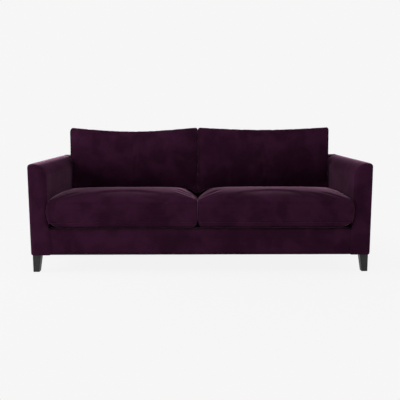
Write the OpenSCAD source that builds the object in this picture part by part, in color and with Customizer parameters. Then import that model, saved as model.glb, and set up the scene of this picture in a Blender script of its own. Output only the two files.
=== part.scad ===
// Two-cushion tuxedo sofa: a timber frame, sprung and padded, under velvet covers,
// with loose box cushions on the seat and loose cushions against the back.
// Millimetres. X runs along the sofa, -Y is its front, Z is up, and the floor is Z 0.
// The origin is the middle of the footprint, on the floor.

/* [Sofa] */
// Width over both arms
sofa_w = 2060; // [1700:10:2400]
// Depth from the arm fronts to the outside back
body_d = 940; // [860:5:1040]
// Height of the arms and of the back, which are level
arm_h = 660; // [620:1:760]
// Height of the frame's underside above the floor
leg_h = 110; // [80:1:180]
// Height of the padded rail, from the underside to the seat deck
rail_h = 160; // [140:1:200]
// Width of each arm
arm_w = 106; // [98:1:150]
// Thickness of the back at its shoulder
back_t = 170; // [140:1:190]
// How far the inside back leans from the shoulder to the deck
back_rake = 45; // [20:1:70]
// Radius of the rounded inner shoulder of arms and back
shoulder_r = 80; // [50:1:90]
// Radius of the outer top edge of the arms
edge_r = 14; // [6:1:20]

/* [Seat cushions] */
// How far the seat cushions stand proud of the arm fronts
seat_overhang = 25; // [5:1:50]
// Height of the boxing, from seam to seam
seat_boxing = 121; // [90:1:150]
// Rise of the top panel over its front seam
seat_crown = 51; // [20:1:60]
// How far the crest of the top panel stands in front of the cushion's middle
seat_crest = 30; // [0:1:60]
// Roll of the bottom panel under its seam
seat_under = 42; // [20:1:60]
// Width of that roll
seat_under_run = 60; // [40:1:80]
// Corner radius of the cushion, seen from above
seat_corner_r = 36; // [20:1:80]
// How far the boxing swells between its seams
seat_bulge = 7; // [2:1:14]
// How far the sides are drawn in between the corners
seat_draw = 5; // [0:1:12]
// How far the top seam sinks at the two sides
seat_side_drop = 4; // [0:1:25]
// Place of the joint between the two cushions, from the middle of the sofa
cushion_split = -16; // [-30:1:30]

/* [Back cushions] */
// Height of each back cushion, along its lean
back_cushion_h = 428; // [340:1:480]
// Thickness of the boxing, from seam to seam
back_boxing = 84; // [60:1:120]
// Swell of the front face over its seam
back_crown = 44; // [20:1:60]
// Roll of the rear face behind its seam
back_under = 14; // [8:1:24]
// Width of that roll
back_under_run = 34; // [20:1:50]
// Corner radius of the cushion, seen from the front
back_corner_r = 14; // [8:1:40]
// How far the boxing swells between its seams
back_bulge = 4; // [1:1:10]
// How far the sides are drawn in between the corners
back_draw_side = 4; // [0:1:16]
// How far the top edge dips between its two corners
back_draw_top = 20; // [0:1:30]

/* [Legs] */
// Width of a leg where it meets the frame
leg_top_w = 50; // [40:1:60]
// Width of a leg at its foot
leg_foot_w = 36; // [28:1:45]
// How far each leg stands in from the faces of the sofa
leg_inset = 7; // [6:1:18]
// Radius of the glide under each foot
glide_r = 12; // [8:1:13]
// Thickness of the glide
glide_t = 1.5; // [1:0.5:5]
// Radius of the hanger bolt in each leg
bolt_r = 4; // [3:0.5:5]
// Length of that bolt inside the leg
bolt_in_leg = 44; // [30:1:60]
// Length of that bolt inside the frame
bolt_in_frame = 32; // [22:1:40]
// Outer radius of the threaded insert that the bolt screws into
insert_r = 6.5; // [5.5:0.5:9]
// Height of that insert
insert_h = 18; // [12:1:20]

/* [Frame] */
// Thickness of the rails and uprights
rail_t = 28; // [22:1:35]
// Depth of the posts and leg blocks
post_d = 60; // [55:1:75]
// Height of the leg blocks
block_h = 50; // [45:1:60]
// Height of the top rails of arms and back
top_rail_h = 40; // [30:1:60]
// Thickness of the boards that close the sides of the arms
board_t = 4; // [3:0.5:6]
// How far the centre rail lies under the spring rails
centre_drop = 12; // [8:1:30]

/* [Suspension] */
// Springs under each seat cushion
springs_per_seat = 4; // [3:1:6]
// Turns of each zigzag spring
spring_turns = 21; // [19:1:23]
// Distance from bar to bar along a spring
spring_pitch = 42; // [36:1:44]
// Width of a zigzag spring
spring_w = 66; // [60:1:76]
// Radius of the spring wire
wire_r = 1.9; // [1.5:0.1:2.2]
// Width of a spring clip, along its rail
clip_w = 12; // [8:1:14]
// Depth of a spring clip, across its rail
clip_d = 10; // [8:1:14]
// Thickness of a clip round the wire
clip_wall = 1; // [0.8:0.1:2]
// Straps of webbing across the back
web_straps = 5; // [3:1:6]
// Width of a strap
web_w = 44; // [30:1:50]
// Thickness of a strap
web_t = 2; // [1:0.5:3]
// How far the end straps lie from the ends of the uprights
web_margin = 18; // [10:1:30]

/* [Padding and covers] */
// Thickness of the velvet covers with their backing
cover_t = 3; // [2:0.5:4]
// Padding on the inside and over the top of the arms
arm_pad = 20; // [14:1:24]
// Padding over the top rails
top_pad = 28; // [20:1:34]
// Wadding on the outside of the arms and the back
outer_pad = 6; // [3:1:8]
// Padding on the front rail, and in the arm fronts
front_pad = 13; // [8:1:16]
// Padding on the inside back
back_pad_t = 55; // [40:1:60]
// Felt over the seat springs
felt_t = 8; // [4:1:12]
// Radius of the top edge of the front rail
front_edge_r = 13; // [6:1:14]
// Depth of the velvet strip behind the front edge of the deck
front_strip_d = 90; // [60:1:150]
// Thickness of the dust cover under the frame
dust_t = 1.5; // [1:0.5:3]
// How far the dust cover stops short of the faces of the sofa
dust_inset = 9; // [4:1:11]

/* [Cushion filling and zips] */
// Wrap round the seat foam, at the sides
seat_wrap = 34; // [24:1:50]
// Wrap under the seat foam
seat_wrap_under = 16; // [10:1:24]
// Wrap over the seat foam, measured down from the top seam
seat_wrap_top = 22; // [16:1:34]
// Wrap round the filling of a back cushion
back_wrap = 24; // [18:1:34]
// Wrap in front of that filling, measured back from the front seam
back_wrap_front = 8; // [4:1:16]
// Wrap behind that filling
back_wrap_rear = 12; // [8:1:18]
// Distance from each end of a zip to the side of its cushion
zip_end = 140; // [100:5:180]
// Width of the zip's tape
tape_w = 24; // [20:1:28]
// Thickness of the tape
tape_t = 1.2; // [0.8:0.1:1.6]
// Width of the closed row of teeth
teeth_w = 5; // [4:0.5:7]
// Thickness of the row of teeth over the tape
teeth_t = 1.4; // [1:0.1:2]
// Depth of the placket that the zip lies in
placket_d = 8; // [7:0.5:10]
// Length of the slider
slider_l = 11; // [9:0.5:14]
// Width of the slider
slider_w = 9; // [8:0.5:12]
// Thickness of the slider over the teeth
slider_wall = 1.2; // [0.8:0.1:1.6]
// Length of the pull
pull_l = 24; // [16:1:32]
// Width of the pull
pull_w = 6; // [4:0.5:7]
// Thickness of the pull
pull_t = 1.2; // [0.8:0.1:1.6]

/* [Hidden] */
$fn = 64;
velvet = [0.17, 0.07, 0.18];
timber = [0.72, 0.58, 0.40];
foam = [0.93, 0.90, 0.80];
black_wood = [0.09, 0.09, 0.09];
steel = [0.62, 0.63, 0.65];
black_cloth = [0.06, 0.06, 0.06];

// Overrun of every cut, past the face that it cuts
over = 1;
// Clearance of one soft solid from another
soft_fit = 0.3;
// Clearance of a shank in its hole
shank_fit = 0.05;
// Clearance of the spring wire in its clip, and of a slider on its zip
slide_fit = 0.15;
// Side gaps of the cushions
seat_gap = 3;
back_gap = 2;
// Gap from the seat cushions to the foot of the inside back
seat_rear_gap = 5;
// Gap from the back cushions to the inside back
back_rear_gap = 6;
// Room in a hole past the end of its bolt
bolt_room = 2;
// Shank that holds each glide
pin_r = 1.5;
pin_l = 14;
// Margin of a placket round its zip
placket_margin = 3;
// How far the covers of the deck run under the inside back
deck_tuck = 20;

// Faces of the sofa
total_d = body_d + seat_overhang;
y_front = -total_d / 2 + seat_overhang;
y_rear = total_d / 2;
x_out = sofa_w / 2;
x_in = x_out - arm_w;
deck_z = leg_h + rail_h;
shoulder_z = arm_h - shoulder_r;
rake_slope = back_rake / (shoulder_z - deck_z);
rake_a = atan(rake_slope);

// Timber zone inside the arms, measured on the right-hand arm
front_build = cover_t + front_pad;
rear_build = cover_t + outer_pad;
timber_front_y = y_front + front_build;
timber_rear_y = y_rear - rear_build;
board_out_x = x_out - rear_build;
timber_out_x = board_out_x - board_t;
board_in_x = x_in + cover_t + arm_pad;
timber_in_x = board_in_x + board_t;
timber_w = timber_out_x - timber_in_x;
timber_top_z = arm_h - cover_t - top_pad;
top_rail_z = timber_top_z - top_rail_h;
clip_h = 2 * (wire_r + clip_wall);
rail_top_z = deck_z - cover_t - felt_t - soft_fit - clip_h;
block_top_z = leg_h + block_h;
back_timber_d = back_t - rear_build - back_pad_t - cover_t - web_t - soft_fit;
back_timber_y = timber_rear_y - back_timber_d;

// Legs
leg_x = x_out - leg_inset - leg_top_w / 2;
leg_front_y = y_front + leg_inset + leg_top_w / 2;
leg_rear_y = y_rear - leg_inset - leg_top_w / 2;
leg_top_z = leg_h - dust_t;
leg_taper = leg_top_w - leg_foot_w;
foot_shift = leg_taper / 2;

// Seat cushions
seat_z = deck_z + soft_fit;
seat_seam_z = seat_z + seat_under + seat_boxing;
seat_front_y = y_front - seat_overhang;
seat_rear_y = y_rear - back_t - back_rake - seat_rear_gap;
seat_half_l = (seat_rear_y - seat_front_y) / 2;
seat_y = (seat_rear_y + seat_front_y) / 2;
seat_crown_x_power = 5;
seat_crown_rear_power = 1.3;
seat_crown_front_power = 3;
back_crown_x_power = 4;
back_crown_y_power = 2.6;
drop_power = 4;

// Points and rings of a cushion's mesh
corner_n = 3;
side_n = 8;
under_n = 4;
boxing_n = 4;
top_n = 8;
settle_n = 24;
settle_count = 5;

// Mirrors a piece of the right-hand side to the left
module on_left() {
    mirror([1, 0, 0]) children();
}

// Puts a leg's pieces under all four corners, each turned so that its outer faces face out
module at_each_leg() {
    for (side = [0, 1])
        mirror([side, 0, 0]) {
            translate([leg_x, leg_front_y, 0]) children();
            translate([leg_x, leg_rear_y, 0]) mirror([0, 1, 0]) children();
        }
}

// Box between two corners
module box(low, high) {
    translate(low) cube(high - low);
}

// Extrudes an outline drawn in X and Z along Y
module along_y(from_y, to_y) {
    translate([0, to_y, 0]) rotate([90, 0, 0]) linear_extrude(to_y - from_y) children();
}

// Extrudes an outline drawn in Y and Z along X
module along_x(from_x, to_x) {
    translate([from_x, 0, 0]) rotate([90, 0, 90]) linear_extrude(to_x - from_x) children();
}

// Cuts the corner off an outline down to a quarter circle. turn is the corner's quadrant.
module corner_cut(corner, r, turn) {
    translate(corner) rotate(turn)
        difference() {
            translate([-r, -r]) square(r + over);
            translate([-r, -r]) circle(r);
        }
}

// Outline of the right-hand arm in X and Z, taken in by an inset. open_end runs it on below.
module arm_outline(inset = 0, open_end = 0) {
    difference() {
        translate([x_in + inset, leg_h - open_end])
            square([arm_w - 2 * inset, arm_h - inset - leg_h + open_end]);
        corner_cut([x_in + inset, arm_h - inset], shoulder_r - inset, 90);
        corner_cut([x_out - inset, arm_h - inset], edge_r - inset, 0);
    }
}

// Front of the inside back, at a height, set back from its face
function back_face_y(z, inset = 0) =
    y_rear - back_t - rake_slope * max(0, shoulder_z - z) + inset;

// Outline of the back in Y and Z, taken in by an inset. open_end runs it on behind.
module back_outline(inset = 0, open_end = 0) {
    face_inset = inset / cos(rake_a);
    difference() {
        polygon([
            [y_rear - cover_t + open_end, leg_h],
            [y_rear - cover_t + open_end, arm_h - inset],
            [y_rear - back_t + inset, arm_h - inset],
            [y_rear - back_t + inset, shoulder_z],
            [back_face_y(deck_z, face_inset), deck_z],
            [back_face_y(deck_z, face_inset), leg_h],
        ]);
        corner_cut([y_rear - back_t + inset, arm_h - inset], shoulder_r - inset, 90);
    }
}

// Space of the arm on the ground, up to the mitre where it meets the back
module arm_plan() {
    polygon([
        [x_in, timber_front_y],
        [x_out, timber_front_y],
        [x_out, y_rear - cover_t],
        [x_in + shoulder_r, y_rear - back_t + shoulder_r],
        [x_in, y_rear - back_t],
    ]);
}

// Space of the back on the ground, between the two mitres
module back_plan() {
    half = [
        [x_in, back_face_y(deck_z)],
        [x_in, y_rear - back_t],
        [x_in + shoulder_r, y_rear - back_t + shoulder_r],
        [x_out, y_rear - cover_t],
    ];
    polygon(concat(half, [for (k = [3:-1:0]) [-half[k].x, half[k].y]]));
}

// Full height of the sofa over a shape on the ground
module full_height() {
    translate([0, 0, leg_h]) linear_extrude(arm_h - leg_h) children();
}

// ---- timber frame

module front_rail() {
    color(timber)
        box([-timber_in_x, timber_front_y, leg_h],
            [timber_in_x, timber_front_y + rail_t, rail_top_z]);
}

module back_rail() {
    color(timber)
        box([-timber_in_x, timber_rear_y - rail_t, leg_h],
            [timber_in_x, timber_rear_y, rail_top_z]);
}

module side_rail() {
    color(timber)
        box([timber_out_x - rail_t, timber_front_y + post_d, leg_h],
            [timber_out_x, timber_rear_y - post_d, rail_top_z]);
}

module centre_rail() {
    color(timber)
        box([-rail_t / 2, timber_front_y + rail_t, leg_h],
            [rail_t / 2, timber_rear_y - rail_t, rail_top_z - centre_drop]);
}

// Hardwood blocks that take the legs, bored for the inserts and the ends of the bolts
module leg_blocks() {
    color(timber)
        difference() {
            for (side = [0, 1])
                mirror([side, 0, 0]) {
                    box([timber_in_x, timber_front_y, leg_h],
                        [timber_out_x, timber_front_y + post_d, block_top_z]);
                    box([timber_in_x, timber_rear_y - post_d, leg_h],
                        [timber_out_x, timber_rear_y, block_top_z]);
                }
            at_each_leg() {
                translate([0, 0, leg_h - over]) cylinder(h = insert_h + over, r = insert_r + shank_fit);
                translate([0, 0, leg_h]) cylinder(h = bolt_in_frame + bolt_room, r = bolt_r + slide_fit);
            }
        }
}

module arm_front_post() {
    color(timber)
        box([timber_in_x, timber_front_y, block_top_z],
            [timber_out_x, timber_front_y + post_d, top_rail_z]);
}

module arm_rear_post() {
    color(timber)
        box([timber_in_x, timber_rear_y - post_d, block_top_z],
            [timber_out_x, timber_rear_y, top_rail_z]);
}

module arm_top_rail() {
    color(timber)
        box([timber_in_x, timber_front_y, top_rail_z],
            [timber_out_x, timber_rear_y, timber_top_z]);
}

module back_top_rail() {
    color(timber)
        box([-timber_in_x, back_timber_y, top_rail_z],
            [timber_in_x, timber_rear_y, timber_top_z]);
}

// Three uprights, cut to the lean of the back
module back_uprights() {
    color(timber)
        for (x = [-x_in, -rail_t / 2, x_in - rail_t])
            along_x(x, x + rail_t)
                polygon([
                    [timber_rear_y, rail_top_z],
                    [timber_rear_y, top_rail_z],
                    [back_timber_y, top_rail_z],
                    [back_timber_y - rake_slope * (top_rail_z - rail_top_z), rail_top_z],
                ]);
}

// It ends at the foot of the back's webbing
module arm_inner_board() {
    back_foot_y = back_timber_y - rake_slope * (top_rail_z - rail_top_z) - web_t / cos(rake_a);
    color(timber)
        box([board_in_x, timber_front_y, rail_top_z],
            [timber_in_x, back_foot_y, timber_top_z]);
}

module arm_outer_board() {
    color(timber)
        box([timber_out_x, timber_front_y, leg_h],
            [board_out_x, timber_rear_y, timber_top_z]);
}

// ---- suspension

spring_front_y = (timber_front_y + timber_rear_y - spring_turns * spring_pitch) / 2;
spring_rear_y = spring_front_y + spring_turns * spring_pitch;
spring_bar = spring_w - spring_pitch;
spring_z = rail_top_z + clip_wall + wire_r;
spring_xs = [for (k = [0:springs_per_seat - 1]) x_in * (k + 1 / 2) / springs_per_seat];

// One zigzag spring: straight bars joined by half turns, left and right by turns
module zigzag() {
    for (k = [0:spring_turns])
        translate([0, k * spring_pitch, 0]) rotate([0, 90, 0])
            cylinder(h = spring_bar, r = wire_r, center = true, $fn = 24);
    for (k = [0:spring_turns - 1]) {
        side = k % 2 == 0 ? 1 : -1;
        translate([side * spring_bar / 2, (k + 1 / 2) * spring_pitch, 0]) rotate(-90 * side)
            rotate_extrude(angle = 180, $fn = 48)
                translate([spring_pitch / 2, 0]) circle(wire_r, $fn = 24);
    }
}

// The springs under the right-hand cushion
module seat_springs() {
    color(steel)
        for (x = spring_xs)
            translate([x, spring_front_y, spring_z]) zigzag();
}

// Clips on the front and back rails, each round the end bar of a spring
module spring_clips() {
    color(steel)
        for (side = [-1, 1], x = spring_xs, y = [spring_front_y, spring_rear_y])
            translate([side * x, y, rail_top_z])
                difference() {
                    translate([-clip_w / 2, -clip_d / 2, 0]) cube([clip_w, clip_d, clip_h]);
                    translate([-clip_w / 2 - over, 0, clip_wall + wire_r]) rotate([0, 90, 0])
                        cylinder(h = clip_w + 2 * over, r = wire_r + slide_fit);
                }
}

// Straps stretched along the sofa, on the leaning front of the uprights
module back_webbing() {
    lean_l = (top_rail_z - deck_z) / cos(rake_a);
    step = (lean_l - 2 * web_margin - web_w) / (web_straps - 1);
    color(black_cloth)
        translate([0, back_timber_y, top_rail_z]) rotate([-rake_a, 0, 0])
            for (k = [0:web_straps - 1])
                translate([-x_in, -web_t, -web_margin - web_w - k * step])
                    cube([2 * x_in, web_t, web_w]);
}

module seat_felt() {
    color(foam)
        box([-x_in, timber_front_y, rail_top_z + clip_h + soft_fit],
            [x_in, back_face_y(deck_z) + deck_tuck, deck_z - cover_t]);
}

// ---- padding

// Foam over the inside and the top of an arm, with wadding down its outside
module arm_pad_piece() {
    color(foam)
        intersection() {
            along_y(timber_front_y, y_rear - cover_t)
                difference() {
                    arm_outline(cover_t);
                    translate([board_in_x, leg_h - over])
                        square([board_out_x - board_in_x, timber_top_z - leg_h + over]);
                    translate([x_in, leg_h - over])
                        square([board_in_x - x_in + over, deck_z - leg_h + over]);
                }
            full_height() arm_plan();
        }
}

// Foam on the front of the rail, with its top edge rounded
module front_rail_pad() {
    color(foam)
        along_x(-x_in, x_in)
            difference() {
                translate([y_front + cover_t, leg_h])
                    square([front_pad, deck_z - cover_t - leg_h]);
                corner_cut([y_front + cover_t, deck_z - cover_t], front_edge_r - cover_t, 90);
            }
}

// Foam over the webbing and the top rail, with wadding down the outside
module back_pad() {
    front_y = back_timber_y - web_t / cos(rake_a) - soft_fit;
    color(foam)
        intersection() {
            along_x(-x_out, x_out)
                difference() {
                    back_outline(cover_t);
                    polygon([
                        [timber_rear_y, leg_h - over],
                        [timber_rear_y, timber_top_z],
                        [front_y, timber_top_z],
                        [front_y, top_rail_z],
                        [front_y - rake_slope * (top_rail_z - deck_z), deck_z],
                        [back_face_y(deck_z) - over, deck_z],
                        [back_face_y(deck_z) - over, leg_h - over],
                    ]);
                }
            difference() {
                full_height() back_plan();
                for (side = [0, 1])
                    mirror([side, 0, 0])
                        box([board_in_x, timber_front_y, leg_h - over],
                            [board_out_x, timber_rear_y, timber_top_z]);
            }
        }
}

// ---- covers

// Velvet over the outside, the top and the inside of an arm
module arm_cover() {
    color(velvet)
        intersection() {
            along_y(timber_front_y, y_rear - cover_t)
                difference() {
                    arm_outline();
                    arm_outline(cover_t, over);
                    translate([x_in - over, leg_h - over])
                        square([arm_w - cover_t, deck_z - leg_h + over]);
                }
            full_height() arm_plan();
        }
}

// Padded panel that closes the front of an arm
module arm_facing() {
    color(velvet) along_y(y_front, timber_front_y) arm_outline();
}

// Velvet over the front rail and the first strip of the deck
module front_rail_cover() {
    color(velvet)
        along_x(-x_in, x_in)
            difference() {
                translate([y_front, leg_h]) square([front_strip_d, deck_z - leg_h]);
                corner_cut([y_front, deck_z], front_edge_r, 90);
                difference() {
                    translate([y_front + cover_t, leg_h - over])
                        square([front_strip_d, deck_z - cover_t - leg_h + over]);
                    corner_cut([y_front + cover_t, deck_z - cover_t], front_edge_r - cover_t, 90);
                }
            }
}

module seat_deck_cover() {
    color(velvet)
        box([-x_in, y_front + front_strip_d, deck_z - cover_t],
            [x_in, back_face_y(deck_z) + deck_tuck, deck_z]);
}

// Velvet over the top and the inside of the back, mitred into the arms
module inside_back_cover() {
    color(velvet)
        intersection() {
            along_x(-x_out, x_out)
                difference() {
                    back_outline();
                    back_outline(cover_t, over);
                    translate([-y_rear, leg_h - over]) square([total_d, deck_z - leg_h + over]);
                }
            full_height() back_plan();
        }
}

// Flat panel over the whole rear
module outside_back_cover() {
    color(velvet)
        along_y(y_rear - cover_t, y_rear)
            difference() {
                translate([-x_out, leg_h]) square([sofa_w, arm_h - leg_h]);
                corner_cut([x_out, arm_h], edge_r, 0);
                corner_cut([-x_out, arm_h], edge_r, 90);
            }
}

// Black cloth under the frame, holed for the leg bolts
module dust_cover() {
    color(black_cloth)
        difference() {
            box([-x_out + dust_inset, y_front + dust_inset, leg_top_z],
                [x_out - dust_inset, y_rear - dust_inset, leg_h]);
            at_each_leg()
                translate([0, 0, leg_top_z - over])
                    cylinder(h = dust_t + 2 * over, r = bolt_r + slide_fit);
        }
}

// ---- legs

// Side view of a leg: the outer face is upright and the inner face tapers
module leg_outline() {
    half = leg_top_w / 2;
    polygon([
        [half, glide_t],
        [half, leg_top_z],
        [-half, leg_top_z],
        [half - leg_foot_w, glide_t],
    ]);
}

// Tapered leg, bored for its bolt and for the shank of its glide
module leg() {
    half = leg_top_w / 2;
    color(black_wood)
        difference() {
            intersection() {
                along_y(-half, half) leg_outline();
                mirror([0, 1, 0]) along_x(-half, half) leg_outline();
            }
            translate([0, 0, leg_top_z - bolt_in_leg - bolt_room])
                cylinder(h = bolt_in_leg + bolt_room + over, r = bolt_r + shank_fit);
            translate([foot_shift, -foot_shift, glide_t - over])
                cylinder(h = pin_l + over, r = pin_r + shank_fit);
        }
}

module leg_bolts() {
    color(steel)
        at_each_leg()
            translate([0, 0, leg_top_z - bolt_in_leg])
                cylinder(h = bolt_in_leg + dust_t + bolt_in_frame, r = bolt_r);
}

module leg_inserts() {
    color(steel)
        at_each_leg()
            translate([0, 0, leg_h])
                difference() {
                    cylinder(h = insert_h, r = insert_r);
                    translate([0, 0, -over]) cylinder(h = insert_h + 2 * over, r = bolt_r + shank_fit);
                }
}

// Nail-on glides, each a disc with a shank
module leg_glides() {
    color(black_cloth)
        at_each_leg()
            translate([foot_shift, -foot_shift, 0]) {
                cylinder(h = glide_t, r = glide_r);
                cylinder(h = glide_t + pin_l - shank_fit, r = pin_r);
            }
}

// ---- cushions

// Ring of points round a rectangle with round corners, counter-clockwise
function ring(half_w, low, high, r) =
    let (
        sx = [1, -1, -1, 1],
        cy = [high - r, high - r, low + r, low + r],
        arc = [for (q = [0:3]) [for (k = [0:corner_n])
            let (t = 90 * (q + k / corner_n))
            [sx[q] * (half_w - r) + r * cos(t), cy[q] + r * sin(t)]]]
    )
    [for (q = [0:3]) each concat(
        arc[q],
        [for (k = [1:side_n - 1])
            arc[q][corner_n] + (arc[(q + 1) % 4][0] - arc[q][corner_n]) * k / side_n])];

// Draws the sides and the far end in between their corners. The near end, with the zip, stays straight.
function drawn(p, half_w, half_l, draw_side, draw_end) =
    let (u = p.x / half_w, v = p.y / half_l)
    [
        p.x * (1 - draw_side / half_w * (1 - v * v)),
        p.y * (1 - (v > 0 ? draw_end / half_l * (1 - u * u) : 0)),
    ];

// Height of a cushion's crowned face over its seam. It is highest at crest and falls from there
// to the zip end by zip_power and to the far end by far_power.
function crown_at(p, half_w, half_l, crown, crest, power_x, zip_power, far_power, bulge,
                  side_drop) =
    let (
        u = min(1, abs(p.x) / (half_w - bulge)),
        run = p.y < crest ? half_l + crest : half_l - bulge - crest,
        v = min(1, abs(p.y - crest) / run)
    )
    crown * (1 - pow(u, power_x)) * (1 - pow(v, p.y < crest ? zip_power : far_power))
        - side_drop * pow(u, drop_power);

// Box cushion lying on its flat face, with its zip end towards -Y and its crown up
module box_cushion(half_w, half_l, corner_r, boxing, crown, crest, power_x, zip_power,
                   far_power, under, under_run, bulge, draw_side, draw_end, side_drop) {
    function outline(inset, zip_inset) = [
        for (p = ring(half_w - inset, zip_inset - half_l, half_l - inset, corner_r))
            drawn(p, half_w, half_l, draw_side, draw_end)
    ];
    function rise(p) = crown_at(p, half_w, half_l, crown, crest, power_x, zip_power,
        far_power, bulge, side_drop);
    seam = outline(bulge, 0);
    n = len(seam);
    under_rings = [
        for (k = [under_n:-1:0])
            let (t = 90 * k / under_n, d = under_run * (1 - cos(t)))
            [for (p = outline(bulge + d, d)) [p.x, p.y, under * (1 - sin(t))]]
    ];
    boxing_rings = [
        for (k = [1:boxing_n - 1])
            let (s = k / boxing_n, o = outline(bulge * pow(2 * s - 1, 2), 0))
            [for (i = [0:n - 1]) [o[i].x, o[i].y, under + s * (boxing + rise(seam[i]))]]
    ];
    top_rings = [
        for (k = [0:top_n - 1])
            let (s = cos(90 * k / top_n))
            [for (p = seam) [s * p.x, s * p.y, under + boxing + rise(s * p)]]
    ];
    rings = concat(under_rings, boxing_rings, top_rings);
    m = len(rings);
    points = concat(
        [for (r = rings) each r],
        [[0, 0, 0], [0, 0, under + boxing + rise([0, 0])]]
    );
    faces = concat(
        [for (r = [0:m - 2], i = [0:n - 1])
            let (a = r * n + i, b = r * n + (i + 1) % n)
            each [[a, a + n, b + n], [a, b + n, b]]],
        [for (i = [0:n - 1]) [m * n, i, (i + 1) % n]],
        [for (i = [0:n - 1]) [m * n + 1, (m - 1) * n + (i + 1) % n, (m - 1) * n + i]]
    );
    polyhedron(points = points, faces = faces, convexity = 4);
}

// Room between the arms that one cushion has, and its middle. side is -1 on the left.
function bay_w(side) = x_in - side * cushion_split;
function bay_x(side) = (side * x_in + cushion_split) / 2;
function seat_half_w(side) = bay_w(side) / 2 - seat_gap;
function back_half_w(side) = bay_w(side) / 2 - back_gap;

// Lays a cushion on the deck, its zip end to the rear
module on_seat(side) {
    translate([bay_x(side), seat_y, seat_z]) rotate(180) children();
}

// Height of the seat along the middle of a cushion
function seat_top_z(y) =
    seat_seam_z + crown_at([0, seat_y - y], seat_half_w(1), seat_half_l, seat_crown,
        seat_crest, seat_crown_x_power, seat_crown_rear_power, seat_crown_front_power,
        seat_bulge, seat_side_drop);

// Foot of a back cushion: a point on its rear plane, at a distance up the lean from the deck
back_plane_y = back_face_y(deck_z) - back_rear_gap / cos(rake_a);
function foot_y(h) = back_plane_y + h * sin(rake_a);
function foot_z(h) = deck_z + h * cos(rake_a);
function foot_gap(h) = min([
    for (k = [0:settle_n])
        let (t = back_under + back_boxing * k / settle_n)
        foot_z(h) + t * sin(rake_a) - seat_top_z(foot_y(h) - t * cos(rake_a))
]);
function settled(h, rounds) =
    rounds < 1 ? h : settled(h - (foot_gap(h) - soft_fit) / cos(rake_a), rounds - 1);
back_foot = settled(seat_seam_z - deck_z, settle_count);
back_half_l = back_cushion_h / 2;

// Stands a cushion on the seat, its zip end down, leaning like the inside back
module on_back(side) {
    translate([bay_x(side), foot_y(back_foot), foot_z(back_foot)])
        rotate([90 - rake_a, 0, 0]) translate([0, back_half_l, 0]) children();
}

// Room for a zip in the near end of a cushion
module placket(half_w, half_l, z) {
    h = tape_w + 2 * placket_margin;
    l = half_w - zip_end + placket_margin;
    translate([-l, -half_l - over, z - h / 2]) cube([2 * l, placket_d + over, h]);
}

// Tape on the floor of the placket, with the row of teeth along it
module zip(half_w, half_l, z) {
    l = half_w - zip_end;
    floor_y = -half_l + placket_d;
    color(velvet) {
        translate([-l, floor_y - tape_t, z - tape_w / 2]) cube([2 * l, tape_t, tape_w]);
        translate([-l, floor_y - tape_t - teeth_t, z - teeth_w / 2]) cube([2 * l, teeth_t, teeth_w]);
    }
}

// Slider astride the teeth, at the closed end of the zip, with its pull lying along it
module slider(half_w, half_l, z, side) {
    end_x = half_w - zip_end;
    base_y = -half_l + placket_d - tape_t - slide_fit;
    height = teeth_t + slider_wall;
    color(steel) mirror([side > 0 ? 0 : 1, 0, 0]) {
        difference() {
            translate([end_x - slider_l, base_y - height, z - slider_w / 2])
                cube([slider_l, height, slider_w]);
            translate([end_x - slider_l - over, base_y - teeth_t, z - teeth_w / 2 - slide_fit])
                cube([slider_l + 2 * over, teeth_t + over, teeth_w + 2 * slide_fit]);
        }
        translate([end_x - slider_l / 2 - pull_l, base_y - height - pull_t, z - pull_w / 2])
            cube([pull_l, pull_t, pull_w]);
    }
}

seat_zip_z = seat_under + seat_boxing / 2;
back_zip_z = back_under + back_boxing / 2;

// Space of the foam in a seat cushion. less takes it in on every side.
module seat_core(side, less) {
    half_w = seat_half_w(side) - seat_wrap - less;
    translate([-half_w, -seat_half_l + seat_wrap + less, seat_wrap_under + less])
        cube([
            2 * half_w,
            2 * (seat_half_l - seat_wrap - less),
            seat_under + seat_boxing - seat_wrap_top - seat_wrap_under - 2 * less,
        ]);
}

// Space of the filling in a back cushion
module back_core(side, less) {
    half_w = back_half_w(side) - back_wrap - less;
    translate([-half_w, -back_half_l + back_wrap + less, back_wrap_rear + less])
        cube([
            2 * half_w,
            2 * (back_half_l - back_wrap - less),
            back_under + back_boxing - back_wrap_front - back_wrap_rear - 2 * less,
        ]);
}

module seat_cover(side) {
    color(velvet) on_seat(side)
        difference() {
            box_cushion(seat_half_w(side), seat_half_l, seat_corner_r, seat_boxing, seat_crown,
                seat_crest, seat_crown_x_power, seat_crown_rear_power, seat_crown_front_power,
                seat_under, seat_under_run, seat_bulge, seat_draw, 0, seat_side_drop);
            seat_core(side, 0);
            placket(seat_half_w(side), seat_half_l, seat_zip_z);
        }
}

module seat_foam(side) {
    color(foam) on_seat(side) seat_core(side, soft_fit);
}

module seat_zip(side) {
    on_seat(side) zip(seat_half_w(side), seat_half_l, seat_zip_z);
}

module seat_zip_slider(side) {
    on_seat(side) slider(seat_half_w(side), seat_half_l, seat_zip_z, side);
}

module back_cover(side) {
    color(velvet) on_back(side)
        difference() {
            box_cushion(back_half_w(side), back_half_l, back_corner_r, back_boxing, back_crown,
                -back_bulge / 2, back_crown_x_power, back_crown_y_power, back_crown_y_power,
                back_under, back_under_run, back_bulge, back_draw_side, back_draw_top, 0);
            back_core(side, 0);
            placket(back_half_w(side), back_half_l, back_zip_z);
        }
}

module back_fill(side) {
    color(foam) on_back(side) back_core(side, soft_fit);
}

module back_zip(side) {
    on_back(side) zip(back_half_w(side), back_half_l, back_zip_z);
}

module back_zip_slider(side) {
    on_back(side) slider(back_half_w(side), back_half_l, back_zip_z, side);
}

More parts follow.
